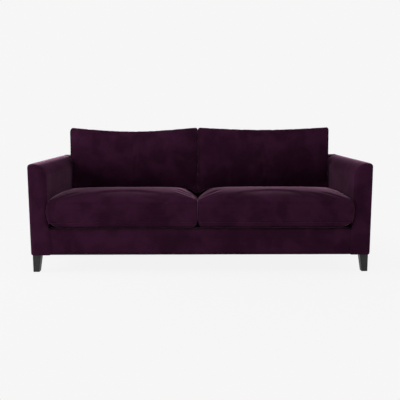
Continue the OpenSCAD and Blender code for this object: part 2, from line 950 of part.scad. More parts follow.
front_rail();
back_rail();
on_left() side_rail();  // side_rail_left
side_rail();  // side_rail_right
centre_rail();
leg_blocks();
on_left() arm_front_post();  // arm_front_post_left
arm_front_post();  // arm_front_post_right
on_left() arm_rear_post();  // arm_rear_post_left
arm_rear_post();  // arm_rear_post_right
on_left() arm_top_rail();  // arm_top_rail_left
arm_top_rail();  // arm_top_rail_right
back_top_rail();
back_uprights();
on_left() arm_inner_board();  // arm_inner_board_left
arm_inner_board();  // arm_inner_board_right
on_left() arm_outer_board();  // arm_outer_board_left
arm_outer_board();  // arm_outer_board_right
on_left() seat_springs();  // seat_springs_left
seat_springs();  // seat_springs_right
spring_clips();
back_webbing();
seat_felt();
on_left() arm_pad_piece();  // arm_pad_left
arm_pad_piece();  // arm_pad_right
front_rail_pad();
back_pad();
on_left() arm_cover();  // arm_cover_left
arm_cover();  // arm_cover_right
on_left() arm_facing();  // arm_facing_left
arm_facing();  // arm_facing_right
front_rail_cover();
seat_deck_cover();
inside_back_cover();
outside_back_cover();
dust_cover();
on_left() translate([leg_x, leg_front_y, 0]) leg();  // leg_front_left
translate([leg_x, leg_front_y, 0]) leg();  // leg_front_right
on_left() translate([leg_x, leg_rear_y, 0]) mirror([0, 1, 0]) leg();  // leg_rear_left
translate([leg_x, leg_rear_y, 0]) mirror([0, 1, 0]) leg();  // leg_rear_right
leg_bolts();
leg_inserts();
leg_glides();
seat_cover(-1);  // seat_cover_left
seat_cover(1);  // seat_cover_right
seat_foam(-1);  // seat_foam_left
seat_foam(1);  // seat_foam_right
seat_zip(-1);  // seat_zip_left
seat_zip(1);  // seat_zip_right
seat_zip_slider(-1);  // seat_zip_slider_left
seat_zip_slider(1);  // seat_zip_slider_right
back_cover(-1);  // back_cover_left
back_cover(1);  // back_cover_right
back_fill(-1);  // back_fill_left
back_fill(1);  // back_fill_right
back_zip(-1);  // back_zip_left
back_zip(1);  // back_zip_right
back_zip_slider(-1);  // back_zip_slider_left
back_zip_slider(1);  // back_zip_slider_right
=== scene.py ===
# %% [markdown]
# # A tuxedo sofa in dark velvet
# A tuxedo sofa has arms as high as its back, so the frame reads as one low box. This one has two
# loose seat cushions and two loose back cushions that rise above the frame. Everything soft is
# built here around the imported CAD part, which gives the sizes and the bodies that move.

import math

import bpy
import numpy as np
from mathutils import Matrix, Vector, kdtree, noise


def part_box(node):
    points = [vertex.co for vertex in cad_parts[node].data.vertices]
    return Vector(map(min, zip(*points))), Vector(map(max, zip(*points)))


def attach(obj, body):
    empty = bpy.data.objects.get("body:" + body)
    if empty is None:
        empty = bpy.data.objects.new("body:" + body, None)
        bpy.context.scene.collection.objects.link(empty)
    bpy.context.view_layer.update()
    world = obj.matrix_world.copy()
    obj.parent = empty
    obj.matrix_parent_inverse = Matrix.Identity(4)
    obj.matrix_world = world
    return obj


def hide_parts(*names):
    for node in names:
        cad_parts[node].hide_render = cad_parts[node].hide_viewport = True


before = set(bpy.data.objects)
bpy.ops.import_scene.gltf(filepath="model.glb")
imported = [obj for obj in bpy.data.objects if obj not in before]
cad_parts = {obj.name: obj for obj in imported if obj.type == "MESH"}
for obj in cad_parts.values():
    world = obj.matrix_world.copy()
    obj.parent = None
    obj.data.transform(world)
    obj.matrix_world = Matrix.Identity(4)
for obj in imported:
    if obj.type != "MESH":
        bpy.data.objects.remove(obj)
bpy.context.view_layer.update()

# %% [markdown]
# ## The camera
# A product shot of a sofa is taken from well back, a little above the arms and tilted down. The
# arms in the photograph lean together towards the floor: that is the tilt of the camera, and with
# a 50 mm lens on a 36 mm sensor 8.1 degrees of it makes upright arms look just like that. The left
# feet also stand a pixel lower than the right ones, so the camera was turned by a hair.

# %% Camera
CAMERA_DOWN, CAMERA_TURN = 8.145, 0.15

camera_data = bpy.data.cameras.new("camera")
camera_data.lens = 50
camera_data.sensor_width = 36
camera = bpy.data.objects.new("camera", camera_data)
camera.location = (0, -3.7595, 0.918)
camera.rotation_euler = (math.radians(90 - CAMERA_DOWN), math.radians(CAMERA_TURN), 0)
bpy.context.scene.collection.objects.link(camera)
bpy.context.scene.camera = camera
bpy.context.scene.view_settings.view_transform = "Standard"
print("camera 50 mm,", CAMERA_DOWN, "degrees down")

# %% [markdown]
# ## Sizes
# The main sizes are read from the CAD nodes, so each new piece lies where its node lies. The few
# radii that a box can't tell are repeated here.

# %% Sizes from the frame
arm_low, arm_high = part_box("arm_cover_right")
X_IN, X_OUT = arm_low.x, arm_high.x
ARM_TOP, UNDERSIDE = arm_high.z, arm_low.z
Y_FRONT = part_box("arm_facing_right")[0].y
Y_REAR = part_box("outside_back_cover")[1].y
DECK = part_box("seat_deck_cover")[1].z
COVER, SHEET, SINK = 0.003, 0.0018, 0.0022
FRAME_WELT, CUSHION_WELT = 0.0026, 0.0019
SHOULDER_R, EDGE_R, RAIL_EDGE_R = 0.080, 0.018, 0.013
BACK_T, RAKE = 0.170, 0.045
SHOULDER_Z = ARM_TOP - SHOULDER_R
CORNER_Y, SEAM_Y = Y_REAR - BACK_T, Y_REAR - COVER
KNEE_Y = CORNER_Y + SHOULDER_R
LEAN = math.atan(RAKE / (SHOULDER_Z - DECK))
print("arm", round(X_OUT - X_IN, 4), "deck", round(DECK, 4), "lean", round(math.degrees(LEAN), 2))

# %% [markdown]
# ## Mesh helpers
# Most upholstery is a sheet that follows a shape, so the helpers work on grids of points. `sheet`
# gives a grid a thickness and closes its rim; `puff` lifts a sheet between its seams, as padding
# does, and lets it sink where it is sewn down.

# %% Grids to closed meshes
def grid_quads(rows, columns, offset=0, flip=False, wrap=False):
    """Faces between rows x columns of points, numbered row by row."""
    i, j = np.mgrid[:rows - 1, :columns if wrap else columns - 1]
    near, far, k = offset + i * columns, offset + (i + 1) * columns, (j + 1) % columns
    quads = np.stack([near + j, near + k, far + k, far + j], -1).reshape(-1, 4)
    return (quads[:, ::-1] if flip else quads).tolist()


def rim_of(rows, columns):
    """Indexes round the border of a grid, in order."""
    top = list(range(columns))
    right = [i * columns + columns - 1 for i in range(1, rows)]
    bottom = [(rows - 1) * columns + j for j in range(columns - 2, -1, -1)]
    left = [i * columns for i in range(rows - 2, 0, -1)]
    return top + right + bottom + left


def normals_of(points):
    """Unit normals of a grid of points, from its slopes."""
    normal = np.cross(np.gradient(points, axis=0), np.gradient(points, axis=1))
    return normal / np.maximum(np.linalg.norm(normal, axis=2, keepdims=True), 1e-12)


def sheet(points, thickness, flip=False):
    """A grid of points as the outer face of a closed sheet."""
    side = -1 if flip else 1
    back = points - side * normals_of(points) * thickness
    rows, columns = points.shape[:2]
    count = rows * columns
    vertices = np.concatenate([points.reshape(-1, 3), back.reshape(-1, 3)])
    faces = grid_quads(rows, columns, 0, flip) + grid_quads(rows, columns, count, not flip)
    rim = rim_of(rows, columns)
    for a, b in zip(rim, rim[1:] + rim[:1]):
        quad = [b, a, a + count, b + count]
        faces.append(quad[::-1] if flip else quad)
    return vertices, faces


def build(name, vertices, faces, crease=50):
    """A mesh object, smooth except where faces meet at more than the crease angle."""
    mesh = bpy.data.meshes.new(name)
    mesh.from_pydata([tuple(v) for v in vertices], [], faces)
    mesh.validate()
    mesh.update()
    mesh.shade_smooth()
    mesh.set_sharp_from_angle(angle=math.radians(crease))
    piece = bpy.data.objects.new(name, mesh)
    bpy.context.scene.collection.objects.link(piece)
    return piece


def read(mesh, what="co"):
    """Vectors of a mesh's vertices as rows."""
    values = np.zeros(len(mesh.vertices) * 3)
    mesh.vertices.foreach_get(what, values)
    return values.reshape(-1, 3)


def write(mesh, points):
    """Moves a mesh's vertices to new points."""
    mesh.vertices.foreach_set("co", points.ravel())
    mesh.update()


print("mesh helpers ready")

# %% Padding between seams
def wobble(points, size, seed=0.0):
    """Smooth noise from about -1 to 1 at each point, the same on every run."""
    flat = points.reshape(-1, 3)
    shift = Vector((seed, seed * 1.7, -seed * 0.6))
    values = [noise.noise(Vector(p) / size + shift) for p in flat]
    return np.array(values).reshape(points.shape[:-1])


def puff(distance, height, run, groove=0.0015, groove_width=0.004):
    """How far a padded sheet stands out at a distance from its nearest seam."""
    sunk = groove * np.exp(-((distance / groove_width) ** 2))
    return height * (1 - np.exp(-distance / run)) - sunk


def pucker(points, distance, depth, size=0.03, reach=0.014, seed=3.0):
    """Small gathers that run out from a seam."""
    return depth * wobble(points, size, seed) * np.exp(-distance / reach)


def ease(start, end, value):
    """0 before start, 1 past end, and smooth between them."""
    t = np.clip((value - start) / (end - start), 0, 1)
    return t * t * (3 - 2 * t)


def spread(stops, step):
    """Values from the first stop to the last through every stop, about one step apart."""
    out = [stops[0]]
    for a, b in zip(stops, stops[1:]):
        count = max(1, round(abs(b - a) / step))
        out += [a + (b - a) * k / count for k in range(1, count + 1)]
    return np.array(out)


print("padding helpers ready")

# %% Welts
def tube(path, radius, closed, up, sides=8):
    """A thin round cord along a path of points; up is never along the path."""
    path = np.array(path, float)
    count = len(path)
    if closed:
        along = np.roll(path, -1, 0) - np.roll(path, 1, 0)
    else:
        along = np.gradient(path, axis=0)
    along /= np.linalg.norm(along, axis=1, keepdims=True)
    across = np.cross(along, np.array(up, float))
    across /= np.linalg.norm(across, axis=1, keepdims=True)
    lift = np.cross(across, along)
    turn = np.linspace(0, 2 * math.pi, sides, endpoint=False)[None, :, None]
    ring = across[:, None] * np.cos(turn) + lift[:, None] * np.sin(turn)
    vertices = (path[:, None] + radius * ring).reshape(-1, 3)
    faces = np.array(grid_quads(count + closed, sides, wrap=True)) % (count * sides)
    caps = [list(range(sides))[::-1], list(range((count - 1) * sides, count * sides))]
    return vertices, faces.tolist() + ([] if closed else caps)


print("welt helper ready")

# %% [markdown]
# ## Velvet
# Velvet is a short upright pile. Seen face on it swallows light and looks almost black; at a slant
# the fibre tips catch it and the cloth glows, so every rounded edge gets a plum rim. Principled's
# sheen does this. The hand marks in the pile are patches where it leans another way: here they
# change the base colour and tilt the normal a little. A woven texture picture would have to be
# stretched over each cushion, so the whole cloth is made of noise in the piece's own coordinates.

# %% Pile node group
def set_all(made, **values):
    """Sets properties of a thing, or a node's unlinked inputs, where _ stands for a space."""
    for key, value in values.items():
        if hasattr(made, key):
            setattr(made, key, value)
        else:
            made.inputs[key.replace("_", " ")].default_value = value
    return made


def node(tree, kind, **values):
    """A shader node with its properties and unlinked inputs set."""
    return set_all(tree.nodes.new(kind), **values)


def wire(tree, source, output, target, socket):
    """Links an output of one node to an input of another."""
    tree.links.new(source.outputs[output], target.inputs[socket])


def new_group(name, inputs, outputs):
    """An empty node group: inputs as (name, type, value), outputs by name."""
    group = bpy.data.node_groups.new(name, "ShaderNodeTree")
    add = group.interface.new_socket
    for label, kind, value in inputs:
        add(name=label, in_out="INPUT", socket_type="NodeSocket" + kind).default_value = value
    for label in outputs:
        add(name=label, in_out="OUTPUT", socket_type="NodeSocketFloat")
    ends = node(group, "NodeGroupInput"), node(group, "NodeGroupOutput")
    return group, *ends, node(group, "ShaderNodeTexCoord")


pile, inlet, outlet, place = new_group(
    "velvet_pile", [("Patch size", "Float", 7.0), ("Offset", "Vector", (0, 0, 0))],
    ["Patches", "Strokes", "Height"],
)
shifted = node(pile, "ShaderNodeVectorMath", operation="ADD")
wire(pile, place, "Object", shifted, 0)
wire(pile, inlet, "Offset", shifted, 1)
patches = node(pile, "ShaderNodeTexNoise", Detail=3.0, Roughness=0.55, Distortion=0.35)
wire(pile, shifted, 0, patches, "Vector")
wire(pile, inlet, "Patch size", patches, "Scale")
patch_range = node(pile, "ShaderNodeMapRange", interpolation_type="SMOOTHSTEP",
                   From_Min=0.36, From_Max=0.66)
wire(pile, patches, "Fac", patch_range, "Value")
wire(pile, patch_range, "Result", outlet, "Patches")
stretch = node(pile, "ShaderNodeMapping", Scale=(26, 26, 60))
wire(pile, shifted, 0, stretch, "Vector")
strokes = node(pile, "ShaderNodeTexNoise", Scale=1.0, Detail=4.0, Roughness=0.65, Distortion=0.8)
wire(pile, stretch, 0, strokes, "Vector")
wire(pile, strokes, "Fac", outlet, "Strokes")
fibres = node(pile, "ShaderNodeTexNoise", Scale=900.0, Detail=2.0, Roughness=0.7)
wire(pile, shifted, 0, fibres, "Vector")
crush = node(pile, "ShaderNodeTexNoise", Scale=34.0, Detail=3.0, Roughness=0.6, Distortion=0.6)
wire(pile, shifted, 0, crush, "Vector")
height = node(pile, "ShaderNodeMath", operation="MULTIPLY_ADD")
height.inputs[1].default_value = 0.25
wire(pile, fibres, "Fac", height, 0)
wire(pile, crush, "Fac", height, 2)
wire(pile, height, 0, outlet, "Height")
print("group velvet_pile:", len(pile.nodes), "nodes")

# %% Velvet material
def new_material(name):
    """A material with its node tree and its Principled shader."""
    material = bpy.data.materials.new(name)
    material.use_nodes = True
    return material, material.node_tree, material.node_tree.nodes["Principled BSDF"]


def shade_by(tree, surface, dark, light, mask, height, strength, distance):
    """Colour between dark and light by a mask, and relief by a height, on a Principled shader."""
    colour = node(tree, "ShaderNodeMix", data_type="RGBA")
    colour.inputs[6].default_value = (*dark, 1)
    colour.inputs[7].default_value = (*light, 1)
    wire(tree, *mask, colour, 0)
    wire(tree, colour, 2, surface, "Base Color")
    bump = node(tree, "ShaderNodeBump", Strength=strength, Distance=distance)
    wire(tree, *height, bump, "Height")
    wire(tree, bump, "Normal", surface, "Normal")


def velvet(name, shade, glow, offset=(0, 0, 0)):
    """Velvet whose base colour runs from shade to glow over the brushed patches."""
    material, tree, cloth = new_material(name)
    lay = node(tree, "ShaderNodeGroup", node_tree=pile)
    set_all(lay, Offset=offset)
    blend = node(tree, "ShaderNodeMix", data_type="FLOAT")
    blend.inputs[0].default_value = 0.4
    wire(tree, lay, "Patches", blend, 2)
    wire(tree, lay, "Strokes", blend, 3)
    shade_by(tree, cloth, shade, glow, (blend, 0), (lay, "Height"), 0.35, 0.0012)
    set_all(cloth, Roughness=0.85, Specular_IOR_Level=0.0, Sheen_Weight=1.0, Sheen_Roughness=0.20,
            Sheen_Tint=(0.50, 0.27, 0.40, 1))
    return material


SHADE, GLOW = (0.014, 0.0036, 0.0100), (0.030, 0.0078, 0.0215)
frame_velvet = velvet("velvet_frame", SHADE, GLOW)
seat_velvet = velvet("velvet_seat", SHADE, GLOW, offset=(3.1, 0.4, 0.0))
back_velvet = velvet("velvet_back", SHADE, GLOW, offset=(7.3, 1.9, 2.0))
print("three lots of velvet")

# %% [markdown]
# ## Timber, lining, plastic and steel
# The legs are stained black with a satin lacquer, so the grain only shows as a faint change of
# gloss. The lining under the seat is a pressed black cloth of crossed fibres. The other finishes
# belong to pieces that are mostly closed in, but they show when a cushion is lifted off.

# %% Grain and weave groups
grain, inlet, outlet, place = new_group(
    "wood_grain", [("Along", "Vector", (40, 40, 3))], ["Rings", "Pores"],
)
scaled = node(grain, "ShaderNodeVectorMath", operation="MULTIPLY")
wire(grain, place, "Object", scaled, 0)
wire(grain, inlet, "Along", scaled, 1)
rings = node(grain, "ShaderNodeTexNoise", Scale=1.0, Detail=5.0, Roughness=0.6, Distortion=0.5)
pores = node(grain, "ShaderNodeTexNoise", Scale=9.0, Detail=2.0, Roughness=0.5)
for texture, name in ((rings, "Rings"), (pores, "Pores")):
    wire(grain, scaled, 0, texture, "Vector")
    wire(grain, texture, "Fac", outlet, name)

weave, inlet, outlet, place = new_group(
    "cloth_weave", [("Threads", "Float", 700.0)], ["Height", "Slubs"],
)
crossed = []
for direction in "XYZ":
    wave = node(weave, "ShaderNodeTexWave", bands_direction=direction, Distortion=0.6, Detail=1.0)
    wire(weave, place, "Object", wave, "Vector")
    wire(weave, inlet, "Threads", wave, "Scale")
    crossed.append(wave)
first = node(weave, "ShaderNodeMath", operation="MAXIMUM")
second = node(weave, "ShaderNodeMath", operation="MAXIMUM")
wire(weave, crossed[0], "Fac", first, 0)
wire(weave, crossed[1], "Fac", first, 1)
wire(weave, first, 0, second, 0)
wire(weave, crossed[2], "Fac", second, 1)
wire(weave, second, 0, outlet, "Height")
slubs = node(weave, "ShaderNodeTexNoise", Scale=60.0, Detail=3.0)
wire(weave, place, "Object", slubs, "Vector")
wire(weave, slubs, "Fac", outlet, "Slubs")
print("groups wood_grain and cloth_weave")

# %% Plain materials built on the groups
def textured(name, dark, light, roughness, group, mask, relief, size, bump=0.2, metallic=0.0):
    """A material whose colour and relief come from one of the groups, at a size of its pattern."""
    material, tree, surface = new_material(name)
    pattern = node(tree, "ShaderNodeGroup", node_tree=group)
    pattern.inputs[0].default_value = size
    shade_by(tree, surface, dark, light, (pattern, mask), (pattern, relief), bump, 0.0006)
    set_all(surface, Roughness=roughness, Metallic=metallic)
    return material


RINGED, PORED = (grain, "Rings", "Pores"), (grain, "Pores", "Pores")
WOVEN, MATTED = (weave, "Slubs", "Height"), (weave, "Slubs", "Slubs")
leg_black = textured("leg_black", (0.014, 0.014, 0.015), (0.036, 0.035, 0.036), 0.45,
                     *RINGED, (55, 55, 5))
set_all(leg_black.node_tree.nodes["Principled BSDF"], Specular_IOR_Level=0.15)
timber = textured("frame_timber", (0.42, 0.27, 0.14), (0.66, 0.48, 0.29), 0.62,
                  *RINGED, (6, 45, 45))
hardboard = textured("hardboard", (0.13, 0.07, 0.035), (0.24, 0.14, 0.075), 0.7,
                     *PORED, (90, 90, 90))
steel = textured("bright_steel", (0.40, 0.41, 0.43), (0.62, 0.63, 0.65), 0.34,
                 *RINGED, (120, 120, 120), metallic=1.0)
dark_nickel = textured("dark_nickel", (0.13, 0.13, 0.14), (0.24, 0.23, 0.24), 0.3,
                       *RINGED, (160, 160, 160), metallic=1.0)
lining = textured("black_lining", (0.006, 0.006, 0.007), (0.020, 0.020, 0.022), 0.9,
                  *WOVEN, 260.0, 0.5)
webbing = textured("webbing", (0.010, 0.010, 0.012), (0.030, 0.030, 0.034), 0.85,
                   *WOVEN, 190.0, 0.6)
felt = textured("grey_felt", (0.20, 0.20, 0.19), (0.36, 0.36, 0.34), 0.95, *MATTED, 400.0, 0.6)
foam = textured("cream_foam", (0.66, 0.58, 0.40), (0.83, 0.77, 0.60), 0.9, *MATTED, 300.0, 0.5)
cotton = textured("white_cotton", (0.68, 0.67, 0.64), (0.84, 0.83, 0.80), 0.9,
                  *WOVEN, 520.0, 0.4)
zip_tape = textured("zip_tape", (0.012, 0.004, 0.012), (0.030, 0.010, 0.030), 0.8,
                    *WOVEN, 420.0, 0.6)
glide_plastic = textured("glide_plastic", (0.012, 0.012, 0.012), (0.022, 0.022, 0.022), 0.55,
                         *PORED, (200, 200, 200))
print(len(bpy.data.materials), "materials so far")

# %% Dress the CAD nodes that stay
NODE_FINISHES = {
    timber: "front_rail back_rail side_rail centre_rail leg_blocks arm_front_post arm_rear_post "
            "arm_top_rail back_top_rail back_uprights",
    hardboard: "arm_inner_board arm_outer_board",
    steel: "seat_springs spring_clips leg_bolts leg_inserts",
    webbing: "back_webbing",
    felt: "seat_felt",
    foam: "arm_pad front_rail_pad back_pad",
    lining: "dust_cover",
    leg_black: "leg_front leg_rear",
    glide_plastic: "leg_glides",
    zip_tape: "seat_zip back_zip",
    dark_nickel: "seat_zip_slider back_zip_slider",
}


def sides_of(stem):
    """The CAD nodes with this name, single or as a left and right pair."""
    return [n for n in (stem, stem + "_left", stem + "_right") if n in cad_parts]


dressed = 0
for material, stems in NODE_FINISHES.items():
    for stem in stems.split():
        for name in sides_of(stem):
            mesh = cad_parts[name].data
            mesh.materials.clear()
            mesh.materials.append(material)
            dressed += 1
print(dressed, "CAD nodes dressed")

# %% Soften the leg edges
for name in sides_of("leg_front") + sides_of("leg_rear"):
    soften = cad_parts[name].modifiers.new("worn_edges", "BEVEL")
    set_all(soften, width=0.0015, segments=3, limit_method="ANGLE", harden_normals=True)
print("leg edges rounded to 1.5 mm")

# %% [markdown]
# ## The arms
# An arm's cover is one wide strip of velvet that runs up the outside, over the top and down the
# inside to the deck. A cross-section swept from front to back gives that strip its seams in the
# right places. At the rear it ends on the mitre, the diagonal seam where arm and back meet, and its
# rounded outer edge runs out into the sharp corner of the frame.

# %% Section of an arm
def arc(centre, radius, start, end, count):
    """Points and outward normals on part of a circle, angles in degrees."""
    turns = np.radians(np.linspace(start, end, count))
    normals = np.stack([np.cos(turns), np.sin(turns)], 1)
    return np.array(centre) + radius * normals, normals


def straight(a, b, normal, step):
    """Points on a line, each with the same normal."""
    count = max(2, round(math.dist(a, b) / step) + 1)
    line = np.linspace(a, b, count)
    return line, np.tile(np.array(normal, float), (count, 1))


def joined(*runs):
    """Several runs of points as one, without repeats where they meet."""
    return [np.concatenate([runs[0][k]] + [run[k][1:] for run in runs[1:]]) for k in (0, 1)]


def arm_section(inset, foot_inside, step=0.009):
    """The right-hand arm's outline in X and Z, from its inside foot over the top to its hem."""
    left, right, top = X_IN + inset, X_OUT - inset, ARM_TOP - inset
    shoulder, edge = SHOULDER_R - inset, EDGE_R - inset
    return joined(
        straight((left, foot_inside), (left, top - shoulder), (-1, 0), step),
        arc((left + shoulder, top - shoulder), shoulder, 180, 90, 15),
        straight((left + shoulder, top), (right - edge, top), (0, 1), step),
        arc((right - edge, top - edge), edge, 90, 0, 7),
        straight((right, top - edge), (right, UNDERSIDE), (1, 0), step),
    )


section, section_normals = arm_section(0, DECK - 0.006)
print("arm section:", len(section), "points")

# %% Arm covers
def mitre_y(x):
    """Where the arm's strip meets the back's, on the right-hand side."""
    knee_x = X_IN + SHOULDER_R
    outer = KNEE_Y + (x - knee_x) * (SEAM_Y - KNEE_Y) / (X_OUT - knee_x)
    return np.where(x <= knee_x, CORNER_Y + (x - X_IN), outer)


ROLL = 0.010
MITRE_LAP, CORNER_RUN = 0.0015, 0.060


def arm_cover_points(side):
    """Grid over the arm: rows run round the section, columns from the front seam to the mitre."""
    turns = np.radians(np.linspace(90, 0, 8))
    roll_y, roll_in = Y_FRONT + ROLL * (1 - np.sin(turns)), ROLL * (1 - np.cos(turns))
    share = spread([0, 0.03, 0.96, 0.988, 1], 0.0105)[1:]
    to_corner = EDGE_R * (1 / np.abs(section_normals).max(1) - 1) * (section_normals[:, 0] > 0)
    end = mitre_y(section[:, 0] + to_corner * section_normals[:, 0]) + MITRE_LAP
    body_y = roll_y[-1] + share[None, :] * (end - roll_y[-1])[:, None]
    y = np.concatenate([np.tile(roll_y, (len(end), 1)), body_y], 1)
    inset = np.concatenate([roll_in, np.zeros(len(share))])
    points = np.zeros((*y.shape, 3))
    points[..., ::2] = section[:, None] - inset[None, :, None] * section_normals[:, None]
    points[..., 1] = y
    outside = (section_normals[:, 0] > 0.5)[:, None] & np.ones_like(y, bool)
    distance = np.minimum(y - Y_FRONT + 0.006, end[:, None] - y)
    distance = np.where(outside, np.minimum(distance, points[..., 2] - UNDERSIDE), distance)
    distance = np.maximum(distance, 0)
    full = np.interp(section_normals[:, 0], [-1, -0.7], [0.0006, 0.0024])[:, None]
    stand = puff(distance, full, 0.022) + pucker(points, distance, 0.0008, seed=5.0 + side)
    stand = np.maximum(stand + 0.0004 * wobble(points, 0.16, 2.0 + side), -SINK)
    stand += to_corner[:, None] * ease(CORNER_RUN, 0.008, end[:, None] - y)
    points[..., ::2] += stand[..., None] * section_normals[:, None]
    points[..., 0] *= side
    return points


print("arm cover ready")

# %% Covers on the frame
def finish_piece(piece, body, material, slot, *nodes):
    """Puts a piece on its body, in its material, in place of its CAD nodes; slot is not used."""
    piece.data.materials.append(material)
    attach(piece, body)
    if nodes:
        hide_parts(*nodes)
    return piece


def across_sofa(profile, reach, share):
    """Grid of points: rows follow a profile in Y and Z, columns share out the row's reach in X."""
    points = np.zeros((len(profile), len(share), 3))
    points[..., 0] = share[None, :] * reach[:, None]
    points[..., 1:] = profile[:, None]
    return points


def frame_cover(name, points, flip, cad_node, thickness=SHEET):
    """A velvet cover on the frame, from a grid of points, in place of its CAD node."""
    piece = build(name, *sheet(points, thickness, flip))
    finish_piece(piece, "sofa_frame", frame_velvet, "velvet", cad_node)
    print(name, len(piece.data.polygons), "faces")


SIDES = (("left", -1), ("right", 1))
for word, side in SIDES:
    frame_cover("arm_velvet_" + word, arm_cover_points(side), side > 0, "arm_cover_" + word)

# %% [markdown]
# ## The arm fronts
# A shaped panel closes the front of each arm. It is padded, so it swells between the seams. The
# arm's own cover rolls over the front edge to meet it, which sets the seam in a little from the
# edge and gives it a soft rim. A flat cap with sharp edges would catch the light like a board.

# %% Arm front panels
def rail_end(z):
    """Where an arm's front panel meets the rail: that seam runs in a little towards the hem."""
    return X_IN - 0.006 * (1 + (DECK - z) / (DECK - UNDERSIDE))


def widened(x, z):
    """An inner edge of the panel, moved out over the rail's end below the deck."""
    below = ease(DECK + 0.035, DECK - 0.004, z)
    return x + (rail_end(z) - x) * below


def panel_outline(inset, step):
    """Outline of the right-hand panel in X and Z, from its inner hem over the top to the outer."""
    outline, _ = arm_section(inset, UNDERSIDE, step)
    inner = outline[:, 0] < X_IN + inset + 0.001
    outline[inner, 0] = widened(outline[inner, 0], outline[inner, 1])
    return outline


def panel_rows(inset):
    """Left and right ends of each level of the panel, from the hem to the top."""
    top, bend = ARM_TOP - inset, SHOULDER_Z
    levels = spread([UNDERSIDE + 0.0005, UNDERSIDE + 0.02, bend], 0.0085)[:-1]
    turns = np.linspace(0, math.pi / 2, 18)
    levels = np.concatenate([levels, top - (top - bend) * (1 - np.sin(turns))])
    shoulder, edge = SHOULDER_R - inset, EDGE_R - inset
    rise_in = np.clip(levels - (top - shoulder), 0, shoulder)
    rise_out = np.clip(levels - (top - edge), 0, edge)
    left = X_IN + inset + shoulder - np.sqrt(np.maximum(shoulder ** 2 - rise_in ** 2, 0))
    right = X_OUT - inset - edge + np.sqrt(np.maximum(edge ** 2 - rise_out ** 2, 0))
    return levels, widened(left, levels), right


def distance_to(points, line):
    """Distance in the plane from each point to a line, which is made finer first."""
    along = np.concatenate([[0], np.cumsum(np.linalg.norm(np.diff(line, axis=0), axis=1))])
    stops = np.arange(0, along[-1] + 0.0005, 0.0005)
    line = np.stack([np.interp(stops, along, line[:, k]) for k in (0, 1)], 1)
    gap = points[:, :, None, :] - line[None, None, :, :]
    return np.sqrt((gap ** 2).sum(-1)).min(-1)


def panel_points(side):
    """Grid over the front of an arm, swelling forward between its seams."""
    tucked = ROLL - 0.003
    levels, left, right = panel_rows(tucked)
    share = 0.5 - 0.5 * np.cos(np.linspace(0, math.pi, 17))
    x = left[:, None] + share[None, :] * (right - left)[:, None]
    z = np.tile(levels[:, None], (1, len(share)))
    border = panel_outline(tucked, 0.003)
    border = np.concatenate([border, border[:1]])
    distance = distance_to(np.stack([x, z], -1), border)
    points = np.stack([x, np.full_like(x, Y_FRONT + 0.0028), z], -1)
    relief = pucker(points, distance, 0.0008, seed=9.0 + side)
    relief += 0.0007 * wobble(points, 0.09, 4.0 + side)
    swell = puff(distance, 0.0073, 0.0045, groove=0)
    swell += relief * ease(0.002, 0.012, distance)
    points[..., 1] -= swell * ease(-0.0001, 0.0001, distance)
    points[..., 0] *= side
    return points


def frame_welt(name, x, y, z, radius=FRAME_WELT):
    """A welt on the frame, along points of which any one coordinate may be constant."""
    line = np.stack(np.broadcast_arrays(x, y, z), 1)
    welt = build(name, *tube(line, radius, False, (0, 1, 0)))
    finish_piece(welt, "sofa_frame", frame_velvet, "velvet")


path = panel_outline(ROLL + 0.0012, 0.006)
path = path[path[:, 1] > UNDERSIDE + 0.001]
for word, side in SIDES:
    frame_cover("arm_front_" + word, panel_points(side), side < 0, "arm_facing_" + word, 0.006)
    frame_welt("arm_welt_" + word, side * path[:, 0], Y_FRONT - 0.0004, path[:, 1], 0.0024)
print("arm welts of", len(path), "points")

# %% [markdown]
# ## The front rail
# The rail between the arms is covered in velvet that turns over the top edge and under the
# cushions. Along the bottom it is folded up and stapled, which leaves a shallow line just above
# the hem.

# %% Front rail
HEM_FOLD = 0.009


def rail_points():
    """Grid over the front rail: rows from the hem up and over, columns from left to right."""
    levels = spread([UNDERSIDE, UNDERSIDE + 0.016], 0.0014)
    levels = np.concatenate([levels, spread([UNDERSIDE + 0.016, DECK - RAIL_EDGE_R], 0.008)[1:]])
    front = np.stack([np.full(len(levels), Y_FRONT), levels], 1)
    profile, normals = joined(
        (front, np.tile((-1.0, 0.0), (len(levels), 1))),
        arc((Y_FRONT + RAIL_EDGE_R, DECK - RAIL_EDGE_R), RAIL_EDGE_R, 180, 90, 8),
        straight((Y_FRONT + RAIL_EDGE_R, DECK), (Y_FRONT + 0.09, DECK), (0, 1), 0.01),
    )
    low = rail_end(profile[:, 1])
    reach = low + (X_IN - low) * normals[:, 1]
    share = spread([-1, -0.985, -0.965, 0.965, 0.985, 1], 0.0105)
    points = across_sofa(profile, reach, share)
    ends = reach[:, None] - np.abs(points[..., 0])
    front_face = (normals[:, 0] < -0.5)[:, None]
    above = np.where(front_face, points[..., 2] - UNDERSIDE, 1.0)
    fold = np.abs(above - HEM_FOLD)
    distance = np.maximum(np.minimum(ends, fold), 0)
    stand = puff(distance, 0.0026, 0.02, groove=0) - 0.0026 * np.exp(-((fold / 0.0022) ** 2))
    stand += pucker(points, np.maximum(np.minimum(ends, above), 0), 0.0012, seed=12.0)
    stand = np.maximum(stand + 0.0010 * wobble(points, 0.14, 6.0), -SINK)
    stand = np.where(normals[:, None, 1] > 0.9, np.minimum(stand, 0), stand)
    points[..., 1:] += stand[..., None] * normals[:, None]
    return points


frame_cover("front_rail_velvet", rail_points(), True, "front_rail_cover")
levels = spread([UNDERSIDE + 0.004, DECK - RAIL_EDGE_R], 0.01)
for word, side in SIDES:
    frame_welt("rail_welt_" + word, side * rail_end(levels), Y_FRONT - 0.0008, levels)
reach = spread([-rail_end(UNDERSIDE), rail_end(UNDERSIDE)], 0.012)
frame_welt("hem_welt", reach, Y_FRONT - 0.0002, UNDERSIDE + HEM_FOLD)
print("three welts on the rail")

